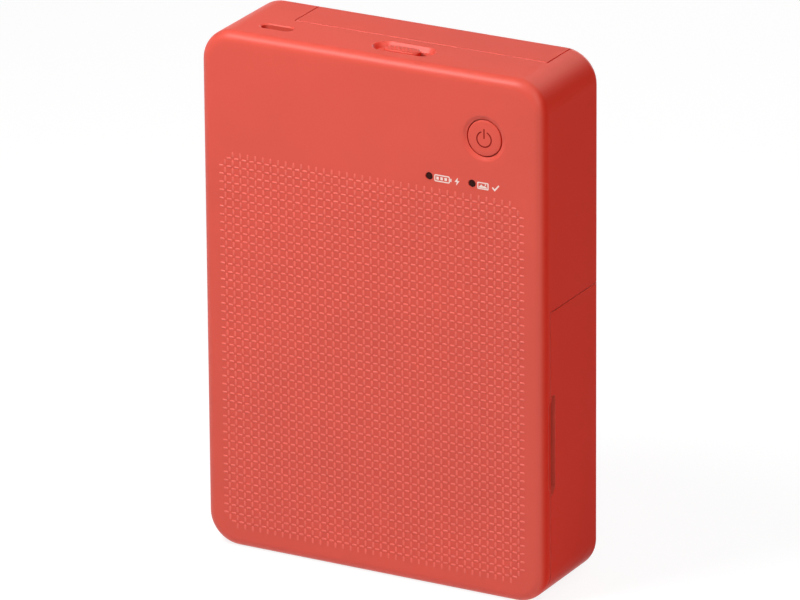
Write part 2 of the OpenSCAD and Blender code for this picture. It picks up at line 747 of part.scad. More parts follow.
module head_beam() color(steel) in_frame() {
    difference() {
        along_x([left_plate[1], 42.2]) union() {
            translate([8, 34]) square([1, 16]);
            translate([8, 34]) square([2.8, 1]);
            translate([8, 50]) square([2.4, 1]);
        }
        for (x = [-15, 5, 25]) translate([x, 0, 0]) along_y([7, 10]) translate([0, 45.5])
            pill(12, 4);
    }
    for (x = [[-29.4, -28.4], [40.2, 41.2]]) difference() {
        along_x(x) union() {
            translate([8.5, 46.6]) square([4.1, 4.4]);
            translate(head_pivot) circle(2);
        }
        rod_x(head_pivot, 0.9, [x[0] - past, x[1] + past]);
    }
}

module head_pin() color(steel) in_frame() rod_x(head_pivot, 0.9, [-29.7, 41.5]);

module head_arm() color(alloy) in_frame() {
    for (x = [[-28, -27], [38.8, 39.8]]) difference() {
        along_x(x) union() {
            translate(head_pivot) circle(1.9);
            translate([head_pivot[0] - 0.4, 44]) square([2, 5]);
        }
        rod_x(head_pivot, 0.95, [x[0] - past, x[1] + past]);
    }
    block([-28, 39.8], [13.2, 14.2], [34.5, 47]);
}

module heat_sink() color(alloy) in_frame() difference() {
    block(head_x, [14.2, 18.6], [35, 46.4]);
    for (z = [36.6 : 2.4 : 45]) if (abs(z - platen_at[1] - 0.8) > 1.5)
        block([-40, 50], [16, 19], [z, z + 1.2]);
}

module print_head() color(pale) in_frame() along_x(head_x)
    polygon([[18.6, 37.6], [20.4, 38], [21.3, 39.2], [21.3, 40.8], [20.4, 42], [18.6, 42.4]]);

module head_springs() color(steel) in_frame() for (x = [-20, 32]) translate([x, 9, 38])
    rotate([-90, 0, 0]) coil(1.5, 0.25, 4.2, 4);

// ---- Rollers ---------------------------------------------------------------------

module platen_shaft() color(steel) in_frame()
    rod_x(platen_at, shaft_r, [left_plate[0] - 0.4, right_plate[1] + 0.1]);

module platen_rubber() color(black) in_frame() difference() {
    rod_x(platen_at, platen_r, [-30.8, 42.6]);
    rod_x(platen_at, shaft_r, [-32, 44]);
}

module capstan_roller() color(steel) in_frame() {
    rod_x(capstan_at, capstan_r, [-30.8, 42.6]);
    rod_x(capstan_at, shaft_r, [plane_1[0] - 0.2, right_plate[1] + 0.1]);
}

module pinch_roller() color(grey) in_frame() {
    rod_x(pinch_at, pinch_r, [-30.8, 42.6]);
    rod_x(pinch_at, shaft_r, [left_plate[0] - 0.2, right_plate[1] + 0.1]);
}

module feed_shaft() color(steel) in_frame()
    rod_x(feed_at, shaft_r, [plane_1[0] - 0.2, right_plate[1] + 0.1]);

module feed_tyres() color(black) in_frame() for (x = tyre_x) difference() {
    rod_x(feed_at, tyre_r, x);
    rod_x(feed_at, shaft_r, [x[0] - past, x[1] + past]);
}

// ---- Paper path ------------------------------------------------------------------

module paper_tray() color(grey) in_frame() {
    difference() {
        block(tray_x, bed_y, tray_z);
        for (x = tyre_x) block([x[0] - 1, x[1] + 1], [20, 26], [feed_at[1] - 7, feed_at[1] + 7]);
    }
    for (x = [tray_x[0], tray_x[1] - tray_wall]) block([x, x + tray_wall],
        [bed_y[1], tray_rim_y], tray_z);
    // ramp that guides a sheet to the print head
    along_x([-30, 42]) polygon([[22.6, 48.4], [23.2, 48.4], [23.8, 53], [22.6, 53]]);
    for (x = [-22 : 8 : 36]) if (abs(x - 6) > 13 || abs(x - 6) < 4)
        block([x, x + 0.8], [21.6, 22.6], [58, 136]);
}

module pressure_plate() color(steel) in_frame() {
    difference() {
        block([-28.6, 40.6], [29.5, 30.2], [56, 140.2]);
        for (x = [-16, 28]) translate([x, 0, 0]) along_y([29, 31]) translate([0, 100])
            rounded([-5, -30], [5, 30], 3);
    }
    block([-28.6, 40.6], [28.9, 29.5], [78, 79]);
    rod_x(plate_hinge, 0.95, [-28.6, 40.6]);
    rod_x(plate_hinge, 0.6, [-30.9, 42.8]);
}

// ---- Drive -----------------------------------------------------------------------

module motor(at, r) {
    rod_x(at, r, [motor_back, motor_face]);
    rod_x(at, 2.5, [motor_face, motor_face + 0.9]);
}

module paper_motor() color(steel) in_frame() motor(motor_at, 6.5);

module ribbon_motor() color(steel) in_frame() motor(ribbon_at, 6);

module motor_pinion() color(pale) in_frame() {
    gear(motor_at, motor_n, motor_turn, plane_2, 0.5);
    rod_x(motor_at, 0.5, [motor_face + 0.95, plane_2[1]]);
}

module ribbon_pinion() color(pale) in_frame() {
    gear(ribbon_at, ribbon_n, ribbon_turn, plane_2, 0.5);
    rod_x(ribbon_at, 0.5, [motor_face + 0.95, plane_2[1]]);
}

module reduction_gear() color(pale) in_frame() difference() {
    union() {
        gear(reduction_at, large_n, small_turn, plane_2, bore_r);
        gear(reduction_at, small_n, small_turn, [plane_2[1], plane_1[1]], bore_r);
    }
    web_holes(reduction_at, large_n, 4, 1, [plane_2[0] - past, plane_1[1] + past]);
}

module idler(at, n, turn) difference() {
    gear(at, n, turn, plane_1, bore_r);
    web_holes(at, n, 5, pitch_r(n) * 0.2, [plane_1[0] - past, plane_1[1] + past]);
}

module low_idler() color(pale) in_frame() idler(low_at, low_n, low_turn);

module middle_idler() color(pale) in_frame() idler(middle_at, middle_n, middle_turn);

module high_idler() color(pale) in_frame() idler(high_at, high_n, high_turn);

module capstan_gear() color(pale) in_frame()
    gear(capstan_at, capstan_n, capstan_turn, plane_1, shaft_r);

module feed_gear() color(pale) in_frame()
    gear(feed_at, feed_n, feed_turn, plane_1, shaft_r);

// Gear with the splined hub that turns the take-up spool
module takeup_gear() color(pale) in_frame() {
    gear(takeup_at, takeup_n, 0, plane_2, 0.6);
    difference() {
        union() {
            rod_x(takeup_at, shaft_r, [plane_2[1], -28]);
            for (a = [0 : 60 : 300]) translate([-31.6, takeup_at[0], takeup_at[1]])
                rotate([a, 0, 0]) translate([0, -0.3, 0]) cube([3.6, 0.6, 2]);
        }
        rod_x(takeup_at, 0.6, [plane_2[1] - past, -27]);
    }
}

// ---- Cassette --------------------------------------------------------------------

// Side view of one tube, open in a slit where the film leaves it
module tube_outline(i) {
    at = [takeup_at, supply_at][i];
    difference() {
        translate(at) circle(tube_r[i]);
        translate(at) circle(tube_r[i] - tube_wall);
        translate(at) rotate(i == 0 ? 46 : -46) translate([3, -1]) square([8, 2]);
    }
}

module cassette_case() color(grey) in_frame() {
    for (i = [0, 1]) along_x(tube_x) tube_outline(i);
    // bridge at the left end, in front of the print head
    difference() {
        along_x([tube_x[0], tube_x[0] + 3]) translate([5, takeup_at[1]])
            square([2, supply_at[1] - takeup_at[1]]);
        for (i = [0, 1]) rod_x([takeup_at, supply_at][i], tube_r[i] - 0.1, [-32, -27]);
    }
    // end plate with its grip
    difference() {
        along_x(cap_x) union() {
            for (i = [0, 1]) translate([takeup_at, supply_at][i]) circle(tube_r[i]);
            translate([4.9, takeup_at[1]]) square([14.8, supply_at[1] - takeup_at[1]]);
        }
        translate([46.2, 0, 0]) along_x([0, 3]) rounded([7, 34], [17, 50], 2);
        for (i = [0, 1]) rod_x([takeup_at, supply_at][i], 1.65, [44, 48]);
    }
    block([46, 48.2], [11.2, 12.8], [35, 49]);
}

module spool(at, r, x0) {
    difference() {
        union() {
            rod_x(at, r, [x0, 43.6]);
            rod_x(at, 1.6, [43.6, 46.8]);
        }
        rod_x(at, 2.15, [x0 - past, -27.6]);
    }
}

module takeup_spool() color(pale) in_frame() spool(takeup_at, 3, -30.7);

module supply_spool() color(pale) in_frame() {
    spool(supply_at, 3, -30.7);
    rod_x(supply_at, shaft_r, [left_plate[0] - 0.3, -27.6]);
    rod_x(supply_at, 2.15, [-28.2, -27.6]);
}

module roll(at, r) difference() {
    rod_x(at, r, film_x);
    rod_x(at, 3, [film_x[0] - past, film_x[1] + past]);
}

module takeup_film() color(black) in_frame() roll(takeup_at, 4.6);

module supply_film() color(black) in_frame() roll(supply_at, 5.8);

module ink_ribbon() color([0.75, 0.68, 0.1]) in_frame() {
    low = takeup_at + polar(6, 46);
    high = supply_at + polar(6.1, -46);
    along_x(film_x) polygon([low, [film_y, 31], [film_y, 53], high,
        high + [film_t, film_t], [film_y + film_t, 53], [film_y + film_t, 31],
        low + [film_t, -film_t]]);
}

front_shell();
rear_panel();
paper_cover();
ink_door();
power_button();
charge_light();
status_light();
latch_knob();
latch_bar();
latch_spring();
usb_shell();
usb_tongue();
main_board();
board_chips();
button_switch();
battery();
left_frame();
right_frame();
tie_rods();
motor_plate();
head_beam();
head_pin();
head_arm();
heat_sink();
print_head();
head_springs();
platen_shaft();
platen_rubber();
capstan_roller();
pinch_roller();
feed_shaft();
feed_tyres();
paper_tray();
pressure_plate();
paper_motor();
motor_pinion();
reduction_gear();
low_idler();
middle_idler();
high_idler();
capstan_gear();
feed_gear();
ribbon_motor();
ribbon_pinion();
takeup_gear();
cassette_case();
supply_spool();
takeup_spool();
supply_film();
takeup_film();
ink_ribbon();
door_pin();
cover_pins();
bushes();
case_screws();
frame_screws();
rear_feet();
cover_feet();
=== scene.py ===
"""Looks of a compact photo printer, set over its packed construction model.

Lengths are metres in the model's frame: +X right, +Z up, the printer's front towards -Y.
Depths are measured back from the foremost point of the front, as in the construction model.
"""

import json
import math

import bmesh
import bpy
from mathutils import Matrix, Vector

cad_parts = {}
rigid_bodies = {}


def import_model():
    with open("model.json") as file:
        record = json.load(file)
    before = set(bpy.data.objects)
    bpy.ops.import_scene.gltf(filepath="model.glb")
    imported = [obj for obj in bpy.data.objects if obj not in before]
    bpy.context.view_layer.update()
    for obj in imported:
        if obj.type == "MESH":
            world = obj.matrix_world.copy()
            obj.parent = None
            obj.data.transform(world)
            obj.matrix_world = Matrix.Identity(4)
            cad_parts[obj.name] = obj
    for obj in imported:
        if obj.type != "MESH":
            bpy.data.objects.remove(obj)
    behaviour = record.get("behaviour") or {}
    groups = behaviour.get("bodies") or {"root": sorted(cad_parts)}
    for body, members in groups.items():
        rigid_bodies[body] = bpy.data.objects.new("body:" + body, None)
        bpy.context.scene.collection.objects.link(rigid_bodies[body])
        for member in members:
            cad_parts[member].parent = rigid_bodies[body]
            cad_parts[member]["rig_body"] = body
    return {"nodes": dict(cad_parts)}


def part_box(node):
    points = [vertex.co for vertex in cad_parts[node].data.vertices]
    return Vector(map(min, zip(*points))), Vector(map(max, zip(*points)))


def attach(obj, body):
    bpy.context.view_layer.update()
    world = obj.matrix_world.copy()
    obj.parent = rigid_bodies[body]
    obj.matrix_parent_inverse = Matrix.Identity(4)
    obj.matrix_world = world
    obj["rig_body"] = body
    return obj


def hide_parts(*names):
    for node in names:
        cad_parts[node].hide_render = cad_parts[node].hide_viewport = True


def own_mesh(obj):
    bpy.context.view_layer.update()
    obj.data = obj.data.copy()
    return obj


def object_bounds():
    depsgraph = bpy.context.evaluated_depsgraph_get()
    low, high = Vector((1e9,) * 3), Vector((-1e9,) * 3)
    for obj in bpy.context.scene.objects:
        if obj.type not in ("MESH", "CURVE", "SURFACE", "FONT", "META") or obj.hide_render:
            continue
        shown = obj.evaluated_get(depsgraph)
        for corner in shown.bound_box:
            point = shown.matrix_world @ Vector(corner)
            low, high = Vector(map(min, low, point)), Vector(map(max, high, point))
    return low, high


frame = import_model()

bl_info = {
    "name": "Compact Photo Printer",
    "version": (1, 0, 0),
    "blender": (4, 5, 0),
    "location": "3D View > Sidebar > Photo Printer",
    "description": "Dresses a compact photo printer in moulded, metal and printed finishes",
    "category": "Object",
}

MM = 0.001
CAD_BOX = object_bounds()
FRONT_Y = CAD_BOX[0][1]
FACE_Y = FRONT_Y + 0.15 * MM
BACK_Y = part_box("rear_panel")[1].y


# ---- Small helpers --------------------------------------------------------------------


def linear(code):
    """Linear red, green and blue of an sRGB hex colour."""
    parts = [int(code[i : i + 2], 16) / 255 for i in (1, 3, 5)]
    return tuple(
        c / 12.92 if c <= 0.04045 else ((c + 0.055) / 1.055) ** 2.4 for c in parts
    )


def at(x, depth, z):
    """Point of the frame from millimetres across, back from the front, and up."""
    return Vector((x * MM, FRONT_Y + depth * MM, z * MM))


def add_node(tree, kind, values=None, links=None, **settings):
    """Adds a node with its settings, its sockets' values and the outputs linked to them."""
    node = tree.nodes.new(kind)
    for key, value in settings.items():
        setattr(node, key, value)
    for key, value in (values or {}).items():
        node.inputs[key].default_value = value
    for key, output in (links or {}).items():
        tree.links.new(output, node.inputs[key])
    return node


def shaded(colour, factor):
    """A colour made darker or lighter, with its alpha."""
    return (*(min(c * factor, 1) for c in colour), 1)


def seen_rays(tree):
    """1 for rays of the camera and for those that mirrors or glass send on, else 0."""
    path = add_node(tree, "ShaderNodeLightPath")
    total = path.outputs["Is Camera Ray"]
    for kind in ("Is Glossy Ray", "Is Transmission Ray"):
        total = add_node(
            tree, "ShaderNodeMath", {}, {0: total, 1: path.outputs[kind]}, operation="MAXIMUM"
        ).outputs[0]
    return total


# ---- Sizes and colours a user may change ----------------------------------------------


def size(name, description, millimetres):
    return bpy.props.FloatProperty(
        name=name,
        description=description,
        default=millimetres * MM,
        min=0,
        precision=5,
        unit="LENGTH",
        subtype="DISTANCE",
    )


def colour(name, description, code):
    return bpy.props.FloatVectorProperty(
        name=name,
        description=description,
        default=linear(code),
        min=0,
        max=1,
        size=3,
        subtype="COLOR",
    )


class PrinterSizes(bpy.types.PropertyGroup):
    """Sizes of the moulded detail that the looks add"""

    dash_pitch: size("Dash pitch", "Spacing of the relief's dashes, both ways", 2.3)
    dash_across: size("Dash length across", "Length of a level dash", 1.42)
    dash_upright: size("Dash length upright", "Length of an upright dash", 1.55)
    dash_width: size("Dash width", "Width of a dash at its foot", 0.6)
    seam_edge: size("Seam edge", "Rounding of the paper cover's edge along its seam", 0.3)
    edge: size("Edge softness", "Rounding of the casing's cut edges", 0.13)
    stroke: size("Symbol stroke", "Width of the groove of the standby symbol", 0.36)
    ink: size("Ink thickness", "Height of the printed signs over the casing", 0.012)
    dot_pitch: size("Dot pitch", "Spacing of the grip dots on the latch knob", 1.2)


class PrinterColours(bpy.types.PropertyGroup):
    """Colours of the printer's finishes"""

    casing: colour("Casing", "Coral of the moulded casing", "#E25748")
    # Painted shade: the long side walls' darker red stands for the shade that falls on them.
    side: colour("Side walls", "Deeper red of the casing's long sides", "#DC3424")
    # Painted highlight: the dashes' paler coral stands for the light that they catch.
    crest: colour("Dashes", "Paler coral of the polished dashes", "#F16B5C")
    # Painted shade: the dark red of the groove's floor stands for the shadow in the groove.
    mark: colour("Standby symbol", "Floor of the symbol's groove", "#92150F")
    ink: colour("Printed signs", "White of the pad-printed signs", "#FFE9E0")
    lens: colour("Lenses", "Smoked maroon of the indicator lenses", "#34100B")
    chassis: colour("Paper tray", "Grey of the tray and the rollers' skin", "#4A4B4E")
    cassette: colour("Cassette", "Charcoal of the ink cassette", "#2B2C2F")
    acetal: colour("Gears", "Natural white of gears, spools and bushes", "#E8E3D3")
    steel: colour("Steel", "Ground steel of shafts, pins and springs", "#A7A8AA")
    zinc: colour("Zinc plate", "Plated sheet of frame, beam and plate", "#A9ADB0")
    alloy: colour("Aluminium", "Extruded heat sink and pressed arm", "#C4C6C8")
    ceramic: colour("Ceramic", "Glazed alumina of the print head", "#E6DFCB")
    rubber: colour("Rubber", "Black of the platen, tyres and feet", "#1C1C1D")
    mask: colour("Board", "Solder mask of the main board", "#0E5030")
    epoxy: colour("Chips", "Black epoxy of the chips", "#17181A")
    wrap: colour("Battery", "Shrink wrap of the battery", "#30343B")


# ---- Finishes -------------------------------------------------------------------------


def new_material(name, base, roughness, ior=1.5, metallic=0.0):
    """An empty finish: its material, node tree, shader and the piece's own coordinates."""
    material = bpy.data.materials.new(name)
    material.use_nodes = True
    tree = material.node_tree
    shader = tree.nodes["Principled BSDF"]
    shader.inputs["Base Color"].default_value = (*base, 1)
    shader.inputs["Roughness"].default_value = roughness
    shader.inputs["Metallic"].default_value = metallic
    if not metallic:
        shader.inputs["IOR"].default_value = ior
    coords = add_node(tree, "ShaderNodeTexCoord").outputs["Object"]
    return material, tree, shader, coords


def moulded_plastic(name, base, grain, relief, roughness, ior=1.53):
    """Plastic moulded against spark-eroded steel. The eye gets a matt skin with a fine
    even grain, and a sheen that drifts slowly where the melt flowed. grain and relief
    are the width and height of its bumps in millimetres."""
    material, tree, shader, coords = new_material(name, base, roughness, ior)
    bumps = add_node(
        tree,
        "ShaderNodeTexNoise",
        {"Scale": 1 / (grain * MM), "Detail": 2.5, "Roughness": 0.6},
        {"Vector": coords},
    )
    flow = add_node(
        tree,
        "ShaderNodeTexNoise",
        {"Scale": 1 / (24 * MM), "Detail": 3.0, "Roughness": 0.5, "Distortion": 0.4},
        {"Vector": coords},
    )
    sheen = add_node(
        tree,
        "ShaderNodeMapRange",
        {"To Min": roughness - 0.045, "To Max": roughness + 0.045},
        {"Value": flow.outputs["Fac"]},
    )
    speck = add_node(
        tree,
        "ShaderNodeMath",
        {1: 0.4},
        {0: bumps.outputs["Fac"], 2: flow.outputs["Fac"]},
        operation="MULTIPLY_ADD",
    )
    tint = add_node(
        tree,
        "ShaderNodeMapRange",
        {"From Min": 0.35, "From Max": 1.05},
        {"Value": speck.outputs[0]},
    )
    mix = add_node(
        tree,
        "ShaderNodeMix",
        {6: shaded(base, 0.955), 7: shaded(base, 1.04)},
        {0: tint.outputs[0]},
        data_type="RGBA",
    )
    bump = add_node(
        tree,
        "ShaderNodeBump",
        {"Strength": 1.0, "Distance": relief * MM},
        {"Height": bumps.outputs["Fac"]},
    )
    tree.links.new(mix.outputs[2], shader.inputs["Base Color"])
    tree.links.new(sheen.outputs[0], shader.inputs["Roughness"])
    tree.links.new(bump.outputs[0], shader.inputs["Normal"])
    return material


def coral_abs(name, colours):
    """Coral ABS with a matt skin that mirrors little. The real grain is about 0.1 mm; it
    is drawn at 0.34 mm so that it shows. The long side walls carry painted shade: they
    get a darker, purer red and mirror less than the front, back and ends."""
    material = moulded_plastic(name, colours.casing, 0.34, 0.011, 0.4)
    tree = material.node_tree
    shader = tree.nodes["Principled BSDF"]
    grained = shader.inputs["Base Color"].links[0].from_socket
    facing = add_node(
        tree,
        "ShaderNodeSeparateXYZ",
        {},
        {"Vector": add_node(tree, "ShaderNodeTexCoord").outputs["Normal"]},
    )
    sideways = add_node(
        tree, "ShaderNodeMath", {}, {0: facing.outputs["X"]}, operation="ABSOLUTE"
    )
    # Painted shade: surfaces facing left or right, the long side walls, get a darker red.
    side_shade_mask = add_node(
        tree,
        "ShaderNodeMapRange",
        {"From Min": 0.5, "From Max": 0.95},
        {"Value": sideways.outputs[0]},
        interpolation_type="SMOOTHSTEP",
    )
    side_shade_tint = add_node(
        tree,
        "ShaderNodeMix",
        {7: (*colours.side, 1)},
        {0: side_shade_mask.outputs[0], 6: grained},
        data_type="RGBA",
    )
    # Painted shade: the long side walls mirror less than the rest of the casing.
    side_shade_specular = add_node(
        tree,
        "ShaderNodeMapRange",
        {"To Min": 0.26, "To Max": 0.02},
        {"Value": side_shade_mask.outputs[0]},
    )
    tree.links.new(side_shade_tint.outputs[2], shader.inputs["Base Color"])
    tree.links.new(side_shade_specular.outputs[0], shader.inputs["Specular IOR Level"])
    return material


def highlit_dash_abs(name, colours):
    """The same coral ABS where the mould is polished: the dashes of the front's relief come
    out smoother. Their paler colour is a painted highlight, standing for the light on their upper
    flanks."""
    # Painted highlight: the dashes take a paler coral than the casing round them.
    material = moulded_plastic(name, colours.crest, 0.34, 0.004, 0.36)
    shader = material.node_tree.nodes["Principled BSDF"]
    shader.inputs["Specular IOR Level"].default_value = 0.4
    return material


def grey_abs(name, colours):
    """Glass-filled grey ABS, duller and coarser than the casing, because nobody sees it."""
    return moulded_plastic(name, colours.chassis, 0.5, 0.02, 0.52)


def cassette_abs(name, colours):
    """Charcoal ABS of the cassette, with a coarse grain for the fingers."""
    return moulded_plastic(name, colours.cassette, 0.45, 0.03, 0.5)


def natural_acetal(name, colours):
    """Natural acetal of gears: waxy, a little translucent, with faint flow marks."""
    material = moulded_plastic(name, colours.acetal, 0.6, 0.004, 0.34, 1.48)
    shader = material.node_tree.nodes["Principled BSDF"]
    shader.inputs["Subsurface Weight"].default_value = 0.12
    shader.inputs["Subsurface Radius"].default_value = (0.9, 0.8, 0.6)
    shader.inputs["Subsurface Scale"].default_value = 0.6 * MM
    return material


def smoked_polycarbonate(name, colours):
    """Clear-moulded maroon polycarbonate: a glossy skin over a darker core, which stands
    for the light guide seen through it."""
    material, tree, shader, coords = new_material(name, colours.lens, 0.3, 1.585)
    shader.inputs["Specular IOR Level"].default_value = 0.08
    cloud = add_node(
        tree,
        "ShaderNodeTexNoise",
        {"Scale": 1 / (0.9 * MM), "Detail": 2.0},
        {"Vector": coords},
    )
    tint = add_node(
        tree,
        "ShaderNodeMapRange",
        {"From Min": 0.3, "From Max": 0.7},
        {"Value": cloud.outputs["Fac"]},
    )
    mix = add_node(
        tree,
        "ShaderNodeMix",
        {6: shaded(colours.lens, 0.45), 7: shaded(colours.lens, 1.5)},
        {0: tint.outputs[0]},
        data_type="RGBA",
    )
    scuff = add_node(
        tree,
        "ShaderNodeMapRange",
        {"To Min": 0.24, "To Max": 0.4},
        {"Value": cloud.outputs["Fac"]},
    )
    tree.links.new(mix.outputs[2], shader.inputs["Base Color"])
    tree.links.new(scuff.outputs[0], shader.inputs["Roughness"])
    return material


def printed_ink(name, base, grain):
    """Pad-printed ink: a thin satin film whose colour thins over the casing's grain."""
    material, tree, shader, coords = new_material(name, base, 0.38, 1.5)
    mottle = add_node(
        tree,
        "ShaderNodeTexNoise",
        {"Scale": 1 / (grain * MM), "Detail": 2.0},
        {"Vector": coords},
    )
    mix = add_node(
        tree,
        "ShaderNodeMix",
        {6: shaded(base, 0.86), 7: shaded(base, 1.0)},
        {0: mottle.outputs["Fac"]},
        data_type="RGBA",
    )
    bump = add_node(
        tree,
        "ShaderNodeBump",
        {"Strength": 1.0, "Distance": 0.006 * MM},
        {"Height": mottle.outputs["Fac"]},
    )
    tree.links.new(mix.outputs[2], shader.inputs["Base Color"])
    tree.links.new(bump.outputs[0], shader.inputs["Normal"])
    return material


def white_ink(name, colours):
    """White ink of the two printed signs."""
    return printed_ink(name, colours.ink, 0.3)


def groove_shade_floor(name, colours):
    """Floor of the symbol's groove, dull, with painted shade: its dark red stands for the shadow
    in the groove.
    """
    # Painted shade: the groove's floor is dark red where the real groove lies in shadow.
    material = printed_ink(name, colours.mark, 0.2)
    shader = material.node_tree.nodes["Principled BSDF"]
    shader.inputs["Specular IOR Level"].default_value = 0.1
    return material


def worked_metal(name, base, roughness, stretch, line, depth):
    """Metal with the lines of the tool or mill that made it. line is their spacing in
    millimetres, and stretch draws them out along one axis."""
    material, tree, shader, coords = new_material(name, base, roughness, metallic=1.0)
    lay = add_node(
        tree, "ShaderNodeMapping", {"Scale": stretch}, {"Vector": coords}
    )
    lines = add_node(
        tree,
        "ShaderNodeTexNoise",
        {"Scale": 1 / (line * MM), "Detail": 3.0, "Roughness": 0.65},
        {"Vector": lay.outputs[0]},
    )
    stain = add_node(
        tree,
        "ShaderNodeTexNoise",
        {"Scale": 1 / (9 * MM), "Detail": 4.0, "Roughness": 0.6},
        {"Vector": coords},
    )
    tint = add_node(
        tree,
        "ShaderNodeMix",
        {6: shaded(base, 0.84), 7: shaded(base, 1.06)},
        {0: stain.outputs["Fac"]},
        data_type="RGBA",
    )
    blend = add_node(
        tree,
        "ShaderNodeMath",
        {},
        {0: lines.outputs["Fac"], 1: stain.outputs["Fac"]},
        operation="ADD",
    )
    rough = add_node(
        tree,
        "ShaderNodeMapRange",
        {"From Min": 0.6, "From Max": 1.4, "To Min": roughness - 0.1, "To Max": roughness + 0.12},
        {"Value": blend.outputs[0]},
    )
    bump = add_node(
        tree,
        "ShaderNodeBump",
        {"Strength": 1.0, "Distance": depth * MM},
        {"Height": lines.outputs["Fac"]},
    )
    tree.links.new(tint.outputs[2], shader.inputs["Base Color"])
    tree.links.new(rough.outputs[0], shader.inputs["Roughness"])
    tree.links.new(bump.outputs[0], shader.inputs["Normal"])
    return material


def ground_steel(name, colours):
    """Centreless-ground steel: fine rings round a shaft, close together along it."""
    return worked_metal(name, colours.steel, 0.26, (1, 0.06, 0.06), 0.3, 0.003)


def zinc_plated_sheet(name, colours):
    """Rolled steel sheet with bright zinc plating: soft rolling lines and a cloudy sheen."""
    return worked_metal(name, colours.zinc, 0.36, (0.3, 1, 0.05), 0.4, 0.004)


def extruded_aluminium(name, colours):
    """Extruded aluminium: die lines that run the length of the part."""
    return worked_metal(name, colours.alloy, 0.34, (0.03, 1, 1), 0.35, 0.006)


def drawn_nickel_steel(name, colours):
    """Deep-drawn steel shell with nickel plating: bright, with faint draw marks."""
    return worked_metal(name, shaded(colours.steel, 1.15)[:3], 0.22, (1, 1, 0.05), 0.25, 0.002)


def glazed_alumina(name, colours):
    """Glazed alumina print head: glassy cream, with the dark line of heating dots across
    its crest and the printed leads that run to it every half millimetre."""
    material, tree, shader, coords = new_material(name, colours.ceramic, 0.14, 1.6)
    low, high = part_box("print_head")
    middle = (low.z + high.z) / 2
    axes = add_node(tree, "ShaderNodeSeparateXYZ", {}, {"Vector": coords})
    height = add_node(
        tree,
        "ShaderNodeMath",
        {1: middle},
        {0: axes.outputs["Z"]},
        operation="SUBTRACT",
    )
    away = add_node(
        tree, "ShaderNodeMath", {}, {0: height.outputs[0]}, operation="ABSOLUTE"
    )
    dots = add_node(
        tree,
        "ShaderNodeMapRange",
        {"From Min": 0.12 * MM, "From Max": 0.2 * MM, "To Min": 1, "To Max": 0},
        {"Value": away.outputs[0]},
    )
    leads = add_node(
        tree,
        "ShaderNodeTexWave",
        {"Scale": 1 / (0.5 * MM) / 20, "Distortion": 0.0, "Detail": 0.0},
        {"Vector": coords},
        bands_direction="X",
    )
    metal = add_node(
        tree,
        "ShaderNodeMapRange",
        {"From Min": 0.62, "From Max": 0.7, "To Max": 0.75},
        {"Value": leads.outputs["Fac"]},
    )
    wired = add_node(
        tree,
        "ShaderNodeMix",
        {6: (*colours.ceramic, 1), 7: (*linear("#B9A267"), 1)},
        {0: metal.outputs[0]},
        data_type="RGBA",
    )
    lined = add_node(
        tree,
        "ShaderNodeMix",
        {7: (*linear("#3A2A20"), 1)},
        {0: dots.outputs[0], 6: wired.outputs[2]},
        data_type="RGBA",
    )
    tree.links.new(lined.outputs[2], shader.inputs["Base Color"])
    return material


def ground_rubber(name, colours):
    """Black rubber, ground after moulding: dull, with fine grit and a dusty bloom."""
    material, tree, shader, coords = new_material(name, colours.rubber, 0.78, 1.52)
    grit = add_node(
        tree,
        "ShaderNodeTexNoise",
        {"Scale": 1 / (0.4 * MM), "Detail": 4.0, "Roughness": 0.7},
        {"Vector": coords},
    )
    bloom = add_node(
        tree,
        "ShaderNodeTexNoise",
        {"Scale": 1 / (5 * MM), "Detail": 3.0},
        {"Vector": coords},
    )
    mix = add_node(
        tree,
        "ShaderNodeMix",
        {6: shaded(colours.rubber, 0.8), 7: shaded(colours.rubber, 1.9)},
        {0: bloom.outputs["Fac"]},
        data_type="RGBA",
    )
    bump = add_node(
        tree,
        "ShaderNodeBump",
        {"Strength": 1.0, "Distance": 0.03 * MM},
        {"Height": grit.outputs["Fac"]},
    )
    tree.links.new(mix.outputs[2], shader.inputs["Base Color"])
    tree.links.new(bump.outputs[0], shader.inputs["Normal"])
    return material


